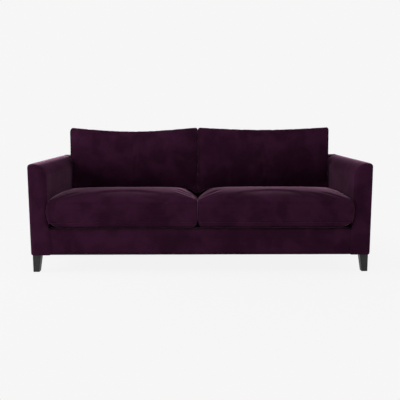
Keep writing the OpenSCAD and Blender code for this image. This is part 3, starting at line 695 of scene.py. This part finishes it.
# %% [markdown]
# ## The back
# The inside back leans, turns over the shoulder and runs flat to the rear, level with the arms.
# It is one strip like the arms' and ends on the same two mitres. The outside back is a separate
# flat panel, pulled tight and sewn on with a cord along its edges.

# %% Inside back
def back_points():
    """Grid over the inside back: rows from the deck up and over, columns from left to right."""
    foot = (CORNER_Y - RAKE, DECK - 0.004)
    lean_normal = (-math.cos(LEAN), math.sin(LEAN))
    profile, normals = joined(
        straight(foot, (CORNER_Y, SHOULDER_Z), lean_normal, 0.012),
        arc((KNEE_Y, SHOULDER_Z), SHOULDER_R, 180, 90, 14),
        straight((KNEE_Y, ARM_TOP), (Y_REAR - 0.0012, ARM_TOP), (0, 1), 0.009),
    )
    ends = [X_IN, X_IN + SHOULDER_R, X_OUT]
    reach = np.interp(profile[:, 0], [CORNER_Y, KNEE_Y, SEAM_Y], ends)
    share = spread([-1, -0.985, 0.985, 1], 0.012)
    points = across_sofa(profile, reach, share)
    ends = reach[:, None] - np.abs(points[..., 0])
    distance = np.maximum(np.minimum(ends, SEAM_Y - points[..., 1]), 0)
    full = np.where(normals[:, 0] < -0.9, 0.0010, 0.0026)[:, None]
    stand = puff(distance, full, 0.022) + pucker(points, distance, 0.0008, seed=15.0)
    stand = np.maximum(stand + 0.0005 * wobble(points, 0.16, 8.0), -SINK)
    points[..., 1:] += stand[..., None] * normals[:, None]
    return points


frame_cover("inside_back_velvet", back_points(), True, "inside_back_cover")

# %% Outside back
CORNER_R = 0.005


def outside_points():
    """Grid over the outside back, tight, with a slight swell between its edges."""
    z = spread([UNDERSIDE, UNDERSIDE + 0.02, ARM_TOP - CORNER_R], 0.012)
    turns = np.radians(np.linspace(0, 90, 6)[1:])
    z = np.concatenate([z, ARM_TOP - CORNER_R * (1 - np.sin(turns))])
    drop = np.clip(z - (ARM_TOP - CORNER_R), 0, CORNER_R)
    reach = X_OUT - CORNER_R + np.sqrt(np.maximum(CORNER_R ** 2 - drop ** 2, 0))
    share = spread([-1, -0.985, 0.985, 1], 0.0125)
    x = share[None, :] * reach[:, None]
    points = np.stack(np.broadcast_arrays(x, Y_REAR - 0.001, z[:, None]), -1)
    edge = np.minimum(points[..., 2] - UNDERSIDE, ARM_TOP - points[..., 2])
    edge = np.minimum(edge, reach[:, None] - np.abs(x))
    distance = np.maximum(edge, 0)
    gathers = pucker(points, distance, 0.0012, size=0.045, reach=0.03, seed=18.0)
    points[..., 1] += puff(distance, 0.0012, 0.03) + gathers
    points[..., 1] += 0.0008 * wobble(points, 0.22, 9.0)
    return points


outside = outside_points()
frame_cover("outside_back_velvet", outside, False, "outside_back_cover", 0.002)
edge = np.concatenate([outside[:, 0], outside[-1, 1:-1], outside[::-1, -1]])
frame_welt("back_welt", edge[:, 0], Y_REAR - 0.0014, edge[:, 2])

# %% Deck under the cushions
SPRING_PITCH = 0.231


def deck_points():
    """Grid over the deck, which sags a little between the springs."""
    low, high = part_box("seat_deck_cover")
    x, y = spread([low.x, high.x], 0.02)[None, :], spread([low.y, high.y], 0.02)[:, None]
    edge = np.minimum(high.y - 0.02 - y, y - low.y)
    sag = 0.0012 * (0.5 - 0.5 * np.cos(x * 2 * math.pi / SPRING_PITCH)) * np.clip(edge / 0.05, 0, 1)
    return np.stack(np.broadcast_arrays(x, y, high.z - sag - 0.0002), -1)


deck = build("seat_deck_lining", *sheet(deck_points(), 0.0015))
finish_piece(deck, "sofa_frame", lining, "lining", "seat_deck_cover")
print(deck.name, len(deck.data.polygons), "faces")

# %% [markdown]
# ## Loose cushions
# A box cushion is two panels joined by a strip, the boxing, with a seam along each edge. Filled,
# the panels crown, the boxing swells, and the sides are pulled in between the corners. The mesh is
# made of just those parts: a top grid, boxing rings, and the underside, which is flat where it
# rests. Then the cloth is settled: the seams are held, the filling presses from inside, and spare
# cloth gathers along the seams as it does when it is sewn. Inside lies the filling, the same form
# drawn in from its cover.

# %% Cushion form
def rounded(a, b, half_w, half_l, r):
    """Border of the unit square to the border of a rectangle with round corners."""
    x, y = a * half_w, b * half_l
    qx, qy = np.abs(x) - (half_w - r), np.abs(y) - (half_l - r)
    corner = (qx > 0) & (qy > 0)
    turn = np.where(qx >= qy, 45 * np.clip(qy / r, 0, 1), 90 - 45 * np.clip(qx / r, 0, 1))
    turn = np.radians(turn)
    cx = np.sign(x) * (half_w - r + r * np.cos(turn))
    cy = np.sign(y) * (half_l - r + r * np.sin(turn))
    return np.where(corner, cx, x), np.where(corner, cy, y)


class CushionForm:
    """Sizes of a box cushion lying on its flat face, its zip end towards -Y.

    joint is the side, -1 or 1, that presses against the other cushion; its corners are sharper
    and its seams nearly touch. top gives the height of the top panel over its seam, and spare
    the extra width of the free side, both from the place on the cushion.
    """

    def __init__(self, joint, top, spare, **sizes):
        self.joint, self.top, self.spare = joint, top, spare
        self.__dict__.update(sizes)

    def outline(self, a, b, swell, run, front_run):
        """Outline set in by swell at a seam, and by run where the underside curves away."""
        at_joint = a * self.joint > 0
        joint_in = self.press - self.joint_pull * swell - 0.8 * run
        half_w = self.half_w + np.where(at_joint, joint_in, -0.5 * swell - 1.2 * run)
        low, high = run - self.half_l, self.half_l - swell - front_run
        r = np.where(at_joint, self.joint_r, self.corner_r)
        x, y = rounded(a, b, half_w, (high - low) / 2, r)
        y = y + (high + low) / 2
        u, v = x / self.half_w, y / self.half_l
        pressed = (1 + self.joint * u) / 2
        x = x - (self.draw_side * u * (1 - v * v) + self.joint * self.spare(y)) * (1 - pressed)
        y = y - np.where(v > 0, self.draw_end * v * np.maximum(1 - u * u, 0) ** 1.5, 0)
        if self.foot_drop:
            from_joint = (1 - self.joint * u) * self.half_w
            y = y - self.foot_drop * np.exp(-from_joint / 0.042) * ease(-0.3, -1, v)
        if self.ears:
            far = np.hypot(self.half_w - np.abs(x), self.half_l - y)
            x = x + np.sign(x) * np.where(at_joint, 0, 0.3 * self.ears * np.exp(-far / 0.02))
            y = y + self.ears * np.exp(-far / 0.02)
        return x, y


print("cushion form ready")

# %% Cushion mesh
UNDER_RINGS = 4
PLACKET_H, PLACKET_DEPTH, PLACKET_END = 0.030, 0.0085, 0.137


def border_of_square(nx, ny):
    """Points (a, b) round the unit square, counter-clockwise from its lower left corner."""
    a, b = np.linspace(-1, 1, nx + 1), np.linspace(-1, 1, ny + 1)
    one = np.ones
    return np.concatenate([
        np.stack([a[:-1], -one(nx)], 1),
        np.stack([one(ny), b[:-1]], 1),
        np.stack([a[:0:-1], one(nx)], 1),
        np.stack([-one(ny), b[:0:-1]], 1),
    ])


def cushion_mesh(form, nx, ny):
    """Points, faces and the two seam loops of a cushion.

    The boxing has a ring on each edge of the placket, the recess that takes the zip.
    """
    border = border_of_square(nx, ny)
    a, b = border[:, 0], border[:, 1]
    count = len(border)
    levels = []
    for k in range(UNDER_RINGS, -1, -1):
        turn = math.pi / 2 * k / UNDER_RINGS
        inward, below = 1 - math.cos(turn), math.sin(turn)
        front = inward + form.flat_front * (below - inward)
        x, y = form.outline(a, b, form.bulge, form.under_run * inward, form.front_run * front)
        levels.append(np.stack([x, y, np.full(count, form.under * (1 - below))], 1))
    sx, sy = form.outline(a, b, form.bulge, 0, 0)
    seam_rise = form.top(sx, sy)
    edge = PLACKET_H / 2 / form.boxing
    stops = [0, 0.5 - edge - 0.02, 0.5 - edge + 0.02, 0.5 + edge - 0.02, 0.5 + edge + 0.02, 1]
    for s in spread(stops, 0.12)[1:]:
        x, y = form.outline(a, b, form.bulge * (2 * s - 1) ** 2, 0, 0)
        levels.append(np.stack([x, y, form.under + s * (form.boxing + seam_rise)], 1))
    points = np.concatenate(levels)
    faces = grid_quads(len(levels), count, wrap=True)
    seams = [np.arange(count) + UNDER_RINGS * count, np.arange(count) + (len(levels) - 1) * count]

    def fill(loop, top):
        """Fills a loop with a grid of points, and returns the faces."""
        nonlocal points
        ga, gb = np.meshgrid(np.linspace(-1, 1, nx + 1), np.linspace(-1, 1, ny + 1))
        m = np.maximum(np.abs(ga), np.abs(gb))
        safe = np.where(m > 0, m, 1)
        index = np.full(ga.shape, -1)
        index[0, :-1], index[:-1, -1] = loop[:nx], loop[nx:nx + ny]
        index[-1, :0:-1], index[:0:-1, 0] = loop[nx + ny:-ny], loop[-ny:]
        inner = index < 0
        if top:
            x, y = form.outline(ga / safe, gb / safe, form.bulge, 0, 0)
        else:
            x, y = form.outline(ga / safe, gb / safe, form.bulge, form.under_run, form.front_run)
        x, y = x * m, y * m
        z = form.under + form.boxing + form.top(x, y) if top else np.zeros_like(x)
        new = np.stack([x, y, z], -1)[inner]
        index[inner] = len(points) + np.arange(inner.sum())
        points = np.concatenate([points, new])
        quads = np.stack([index[:-1, :-1], index[:-1, 1:], index[1:, 1:], index[1:, :-1]], -1)
        return quads.reshape(-1, 4)[:, ::1 if top else -1].tolist()

    faces = faces + fill(np.arange(count), False)
    faces = faces + fill(seams[1], True)
    return points, faces, seams


print("cushion mesh ready")

# %% Settling the cloth
SETTLE_FRAMES = 20


def settle(piece, hold, limit, pressure, slack, cap):
    """Lets the filling press the cloth out. hold is 1 where it is sewn down, less elsewhere.

    limit gets the points before and after, and presses back what would touch a neighbour.
    """
    group = piece.vertex_groups.new(name="hold")
    for weight in np.unique(np.round(hold, 2)):
        members = np.nonzero(np.abs(hold - weight) < 0.005)[0]
        if weight > 0:
            group.add([int(i) for i in members], float(weight), "REPLACE")
    cloth = piece.modifiers.new("settle", "CLOTH")
    set_all(cloth.settings, quality=5, mass=0.3, tension_stiffness=12, compression_stiffness=12,
            shear_stiffness=6, bending_stiffness=0.6, shrink_min=-slack, use_pressure=True,
            uniform_pressure_force=pressure, vertex_group_mass="hold", pin_stiffness=1.0)
    cloth.settings.effector_weights.gravity = 0
    cloth.collision_settings.use_collision = False
    cloth.collision_settings.use_self_collision = False
    scene = bpy.context.scene
    for step in range(1, SETTLE_FRAMES + 1):
        scene.frame_set(step)
    seen = piece.evaluated_get(bpy.context.evaluated_depsgraph_get()).data
    before, after = read(piece.data), read(seen)
    piece.modifiers.remove(cloth)
    scene.frame_set(1)
    move = after - before
    length = np.linalg.norm(move, axis=1, keepdims=True)
    move *= np.minimum(1, cap / np.maximum(length, 1e-9))
    write(piece.data, limit(before, before + move))
    piece.vertex_groups.clear()
    return float(length.max())


def subdivide(piece):
    """Applies one subdivision to a piece's mesh."""
    smooth = piece.modifiers.new("smooth", "SUBSURF")
    smooth.levels = smooth.render_levels = 1
    seen = piece.evaluated_get(bpy.context.evaluated_depsgraph_get())
    mesh = bpy.data.meshes.new_from_object(seen)
    piece.modifiers.remove(smooth)
    old = piece.data
    piece.data = mesh
    mesh.name = piece.name
    bpy.data.meshes.remove(old)


print("cloth helpers ready")

# %% Finishing a cushion
def turned(points, matrix):
    """Points moved by a 4x4 matrix."""
    m = np.array(matrix)
    return points @ m[:3, :3].T + m[:3, 3]


def gather(piece, seam_points, seed, depth=0.0014, reach=0.016, size=0.024):
    """Small gathers along the seams, pressed into a finished cushion."""
    co, normal = read(piece.data), read(piece.data, "normal")
    tree = kdtree.KDTree(len(seam_points))
    for i, p in enumerate(seam_points):
        tree.insert(p, i)
    tree.balance()
    distance = np.array([tree.find(p)[2] for p in co])
    near = distance < reach * 5
    lift = np.zeros(len(co))
    lift[near] = depth * (wobble(co[near], size, seed) - 0.5) * np.exp(-distance[near] / reach)
    lift -= SINK * np.exp(-((distance / 0.005) ** 2))
    write(piece.data, co + lift[:, None] * normal)


def press_placket(co, form):
    """Sets the middle of the zip end's boxing back, to make room for the zip."""
    on_end = ease(-form.half_l + 0.012, -form.half_l + 0.006, co[:, 1])
    from_middle = np.abs(co[:, 2] - form.under - form.boxing / 2)
    in_height = ease(PLACKET_H / 2 + 0.002, PLACKET_H / 2 - 0.001, from_middle)
    end = form.half_w - PLACKET_END
    along = ease(end + 0.006, end - 0.006, np.abs(co[:, 0]))
    share = on_end * in_height * along
    co[:, 1] += share * (PLACKET_DEPTH - form.half_l - co[:, 1])


WELT_DEPTH = 0.7
FILLING_INSET = 0.015


def make_cushion(name, form, matrix, grid, limit, cloth, seed):
    """Builds, settles and finishes one cushion, with a welt on each seam."""
    points, faces, seams = cushion_mesh(form, *grid)
    piece = build(name, points, faces, crease=80)
    hold = np.full(len(points), 0.04)
    hold[points[:, 2] < form.under * 0.6] = 1.0
    for seam in seams:
        hold[seam] = 1.0
    moved = 0.0
    moved = settle(piece, hold, limit, *cloth)
    co = read(piece.data)
    press_placket(co, form)
    co = turned(co, matrix)
    write(piece.data, co)
    subdivide(piece)
    gather(piece, np.concatenate([co[seam] for seam in seams]), seed)
    piece.data.shade_smooth()
    finished = read(piece.data)
    up, welts = np.array(matrix)[:3, 2], []
    for which, seam in zip(("under", "upper"), seams):
        line = co[seam] + WELT_DEPTH * (finished[seam] - co[seam])
        welts.append(build(name + "_seam_" + which, *tube(line, CUSHION_WELT, True, up)))
    print(name, len(piece.data.polygons), "faces, cloth moved up to", round(moved * 1000, 1), "mm")
    return piece, welts


def make_filling(name, form, matrix, grid):
    """The filling: the cushion's own form, drawn in from its cover on every side."""
    points, faces, _ = cushion_mesh(form, *grid)
    low, high = points.min(0), points.max(0)
    middle, half = (low + high) / 2, (high - low) / 2
    points = middle + (points - middle) * (1 - FILLING_INSET / half)
    return build(name, turned(points, matrix), faces, crease=80)


print("cushion finishing ready")

# %% Putting a cushion on its body
def place_cushion(kind, word, velvet_lot, cushion, welts, filling, stuffing, slot, fill):
    """A cushion's skin, filling and welts on its body, in place of its cover and core."""
    body = kind + "_cushion_" + word
    finish_piece(cushion, body, velvet_lot, "velvet", kind + "_cover_" + word)
    core = kind + ("_foam_" if kind == "seat" else "_fill_") + word
    finish_piece(filling, body, stuffing, slot, core)
    for welt in welts:
        finish_piece(welt, body, velvet_lot, "velvet")


print("cushion placing ready")

# %% [markdown]
# The two seat cushions press against each other, so their meeting sides are flat, with a narrow
# valley between the tops that deepens towards the rear. At the arms they are held by the arm and
# stay full, and in front of the arms they swell a little past it, which overlaps the arm's front.

# %% Seat cushions
CREST_Y, SEAT_CROWN, FALL_TO_ARM = 0.030, 0.050, 0.030
VALLEY_Y = [-0.37, -0.11, 0.03, 0.10, 0.28, 0.365]
VALLEY_DEPTH = [0.100, 0.085, 0.070, 0.056, 0.029, 0.003]


def seat_form(word, side):
    """The seat cushion's form, from the boxes of its CAD nodes. Its joint lies at x = side."""
    low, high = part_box("seat_cover_" + word)
    core_low, core_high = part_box("seat_foam_" + word)
    half_w, half_l = (core_high.x - core_low.x) / 2 + 0.0343, (high.y - low.y) / 2

    def top(x, y):
        """Crown that falls off to the arm and into a valley at the joint."""
        fore = np.clip((y - CREST_Y) / (half_l - 0.007 - CREST_Y), 0, 1)
        aft = np.clip((CREST_Y - y) / (half_l + CREST_Y), 0, 1)
        crest = np.where(y > CREST_Y, (1 - fore ** 3.2) ** 0.6, 1 - aft ** 1.3)
        from_joint = np.maximum(half_w - side * x, 0)
        from_arm = np.maximum(half_w - 0.007 + side * x, 0)
        crown = crest * (SEAT_CROWN - FALL_TO_ARM * np.exp(-from_arm / 0.075))
        valley = np.interp(y, VALLEY_Y, VALLEY_DEPTH)
        return crown - valley * np.exp(-from_joint / 0.047)

    def spare(y):
        """Swell of the front corner past the arm's inside face."""
        return 0.016 * ease(half_l - 0.031, half_l - 0.010, y)

    return CushionForm(
        side, top, spare, half_w=half_w, half_l=half_l, corner_r=0.034, joint_r=0.013,
        boxing=0.121, under=0.042, under_run=0.060, front_run=0.044, flat_front=0.7, bulge=0.007,
        draw_side=0.003, draw_end=0, press=0.0026, joint_pull=0.15, foot_drop=0, ears=0,
    )


def hold_sides(form, after, margin):
    """Holds the cloth off the arm and the other cushion."""
    low = -form.half_w - margin - form.spare(after[:, 1])
    after[:, 0] = form.joint * np.clip(form.joint * after[:, 0], low, form.half_w + form.press)


def seat_limit(form):
    """Holds the cloth off its neighbours: sides, back, and the cushion that stands on it."""
    def limit(before, after):
        hold_sides(form, after, 0.0008)
        after[:, 1] = np.maximum(after[:, 1], -form.half_l - 0.002)
        under_back = ease(0.06, -0.02, after[:, 1])
        rise = after[:, 2] - before[:, 2]
        after[:, 2] = before[:, 2] + np.where(rise > 0, rise * (1 - under_back), rise)
        return after
    return limit


for word, side in SIDES:
    low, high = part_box("seat_cover_" + word)
    core_low, core_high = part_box("seat_foam_" + word)
    place = Matrix.Translation(((core_low.x + core_high.x) / 2, (low.y + high.y) / 2, low.z))
    place = place @ Matrix.Rotation(math.pi, 4, "Z")
    form = seat_form(word, side)
    made = make_cushion("seat_cushion_" + word, form, place, (84, 66),
                        seat_limit(form), (1.5, 0.004, 0.004), 21.0 + side)
    filling = make_filling("seat_filling_" + word, form, place, (28, 22))
    place_cushion("seat", word, seat_velvet, *made, filling, foam, "foam", 0.85)

# %% [markdown]
# The back cushions are thinner and sharper. Their top corners stand up as small ears and the edge
# between them sags, because the filling stops short of the seam. They meet in the middle too,
# where their lower corners hang down into the valley between the seat cushions.

# %% Back cushions
BACK_HALF_L, BACK_UNDER, BACK_BOXING, BACK_BULGE = 0.2155, 0.014, 0.084, 0.008
BACK_CROWN, WRAP_REAR, WRAP_FACE, SOFT_FIT = 0.044, 0.012, 0.008, 0.0003


def back_form(word, side):
    """The back cushion's form, from the size of its filling. Its joint lies at x = -side."""
    core_low, core_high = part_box("back_fill_" + word)
    half_w = (core_high.x - core_low.x) / 2 + 0.0243
    over_arm = 0.009 - 0.005 * side

    def top(x, y):
        """Plain crown."""
        u = np.minimum(1, np.abs(x) / (half_w - BACK_BULGE))
        v = np.minimum(1, np.abs(y + BACK_BULGE / 2) / (BACK_HALF_L - BACK_BULGE / 2))
        return BACK_CROWN * (1 - u ** 3.4) * (1 - v ** 2.6)

    def spare(y):
        """Swell over the arm, above the arm's rounded shoulder."""
        return over_arm * ease(-0.035, 0.015, y) * (1 - 0.6 * ease(0.18, BACK_HALF_L, y))

    return CushionForm(
        -side, top, spare, half_w=half_w, half_l=BACK_HALF_L, corner_r=0.014, joint_r=0.020,
        boxing=BACK_BOXING, under=BACK_UNDER, under_run=0.034, front_run=0.034, flat_front=0,
        bulge=BACK_BULGE, draw_side=0.004, draw_end=0.022 - 0.005 * side, press=0.0027,
        joint_pull=0.4, foot_drop=0.052, ears=0.004,
    )


def back_limit(form):
    """Holds the cloth off its neighbours: sides, inside back and seat."""
    def limit(before, after):
        hold_sides(form, after, 0.0006)
        after[:, 1] = np.maximum(after[:, 1], np.minimum(before[:, 1], 0.004 - form.half_l))
        after[:, 2] = np.maximum(after[:, 2], -0.002)
        return after
    return limit


for word, side in SIDES:
    core_low, core_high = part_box("back_fill_" + word)
    middle = (core_low + core_high) / 2
    core_t = BACK_UNDER + BACK_BOXING - WRAP_FACE - WRAP_REAR - 2 * SOFT_FIT
    face = Vector((0, -math.cos(LEAN), math.sin(LEAN)))
    rise = Vector((0, math.sin(LEAN), math.cos(LEAN)))
    origin = middle - face * (WRAP_REAR + SOFT_FIT + core_t / 2)
    place = Matrix((
        (1, rise.x, face.x, origin.x), (0, rise.y, face.y, origin.y),
        (0, rise.z, face.z, origin.z), (0, 0, 0, 1),
    ))
    form = back_form(word, side)
    made = make_cushion("back_cushion_" + word, form, place, (84, 40),
                        back_limit(form), (2.0, 0.006, 0.006), 31.0 + side)
    filling = make_filling("back_filling_" + word, form, place, (28, 14))
    place_cushion("back", word, back_velvet, *made, filling, cotton, "fibre", 0.8)

# %% [markdown]
# ## The studio
# Three large soft lamps: the main one far out on the left, a weak one on the left in front and one
# overhead. The world around them has a strength of its own for each side, left, right, front,
# behind and above: like big white screens, the stronger ones on the right and behind fill the other
# arm and the tops. The floor and the background show as the same pale grey to the camera, and the
# floor still takes the sofa's shadow near it.

# %% Floor
PALE, SHADOW_SHARE, FLOOR_BOUNCE = 0.9216, 0.05, 0.48


def mixed(tree, factor, first, second):
    """A mix of two shaders by a factor, which is given as a node and its output."""
    mix = node(tree, "ShaderNodeMixShader")
    wire(tree, *factor, mix, 0)
    wire(tree, first, 0, mix, 1)
    wire(tree, second, 0, mix, 2)
    return mix


def seen_directly(tree):
    """1 for what the camera or a glossy surface sees, 0 for the light that falls on the sofa."""
    ray = node(tree, "ShaderNodeLightPath")
    seen = node(tree, "ShaderNodeMath", operation="MAXIMUM")
    wire(tree, ray, "Is Camera Ray", seen, 0)
    wire(tree, ray, "Is Glossy Ray", seen, 1)
    return seen


floor_mesh = bpy.data.meshes.new("floor")
floor_mesh.from_pydata([(-60, -60, 0), (60, -60, 0), (60, 60, 0), (-60, 60, 0)], [], [[0, 1, 2, 3]])
floor = bpy.data.objects.new("floor", floor_mesh)
bpy.context.scene.collection.objects.link(floor)
floor_material = bpy.data.materials.new("pale_floor")
floor_material.use_nodes = True
tree = floor_material.node_tree
tree.nodes.clear()
shown = node(tree, "ShaderNodeOutputMaterial")
seen = seen_directly(tree)
matt = node(tree, "ShaderNodeBsdfDiffuse", Color=(0.8, 0.8, 0.8, 1))
plain = node(tree, "ShaderNodeEmission", Color=(PALE, PALE, PALE, 1), Strength=1.0)
place = node(tree, "ShaderNodeTexCoord")
ring = node(tree, "ShaderNodeVectorMath", operation="LENGTH")
wire(tree, place, "Object", ring, 0)
fade = node(tree, "ShaderNodeMapRange", interpolation_type="SMOOTHSTEP",
            From_Min=0.9, From_Max=1.9, To_Min=SHADOW_SHARE, To_Max=0.0)
wire(tree, ring, "Value", fade, "Value")
near = mixed(tree, (fade, "Result"), plain, matt)
bounce = node(tree, "ShaderNodeEmission", Color=(1, 1, 1, 1), Strength=FLOOR_BOUNCE)
lit = node(tree, "ShaderNodeAddShader")
wire(tree, matt, 0, lit, 0)
wire(tree, bounce, 0, lit, 1)
wire(tree, mixed(tree, (seen, 0), lit, near), 0, shown, "Surface")
floor.data.materials.append(floor_material)
print("floor ready")

# %% World and lamps
WORLD_LEFT, WORLD_RIGHT, WORLD_FRONT, WORLD_BEHIND, WORLD_ABOVE = 0.2, 2.1, 0.1, 1.3, 0.1

world = bpy.data.worlds.new("studio")
bpy.context.scene.world = world
world.use_nodes = True
tree = world.node_tree
tree.nodes.clear()
shown = node(tree, "ShaderNodeOutputWorld")
seen = seen_directly(tree)
ambient = node(tree, "ShaderNodeBackground", Color=(1, 1, 1, 1))
place = node(tree, "ShaderNodeTexCoord")
sides = []
for sign, strengths in (
    (1, (WORLD_RIGHT, WORLD_BEHIND, WORLD_ABOVE)),
    (-1, (WORLD_LEFT, WORLD_FRONT, 0)),
):
    facing = node(tree, "ShaderNodeVectorMath", operation="SCALE", Scale=sign)
    toward = node(tree, "ShaderNodeVectorMath", operation="MAXIMUM")
    squared = node(tree, "ShaderNodeVectorMath", operation="MULTIPLY")
    weighed = node(tree, "ShaderNodeVectorMath", operation="DOT_PRODUCT")
    weighed.inputs[1].default_value = strengths
    wire(tree, place, "Generated", facing, 0)
    wire(tree, facing, 0, toward, 0)
    wire(tree, toward, 0, squared, 0)
    wire(tree, toward, 0, squared, 1)
    wire(tree, squared, 0, weighed, 0)
    sides.append(weighed)
total = node(tree, "ShaderNodeMath", operation="ADD")
wire(tree, sides[0], "Value", total, 0)
wire(tree, sides[1], "Value", total, 1)
wire(tree, total, 0, ambient, "Strength")
pale = node(tree, "ShaderNodeBackground", Color=(PALE, PALE, PALE, 1), Strength=1.0)
wire(tree, mixed(tree, (seen, 0), ambient, pale), 0, shown, "Surface")


def lamp(name, place, aim, size, watts):
    """A square soft lamp that looks at a point."""
    light = bpy.data.lights.new(name, "AREA")
    set_all(light, shape="SQUARE", size=size, energy=watts)
    holder = bpy.data.objects.new(name, light)
    holder.location = place
    holder.rotation_mode = "QUATERNION"
    holder.rotation_quaternion = (Vector(aim) - Vector(place)).to_track_quat("-Z", "Y")
    bpy.context.scene.collection.objects.link(holder)


lamp("side_lamp", (-3.8, -0.8, 1.6), (0, 0, 0.5), 1.6, 130)
lamp("front_lamp", (-3.0, -3.0, 1.5), (-0.2, 0, 0.5), 1.8, 12)
lamp("top_lamp", (0, -0.5, 3.2), (0, -0.1, 0.4), 2.4, 42)
print("three lamps")
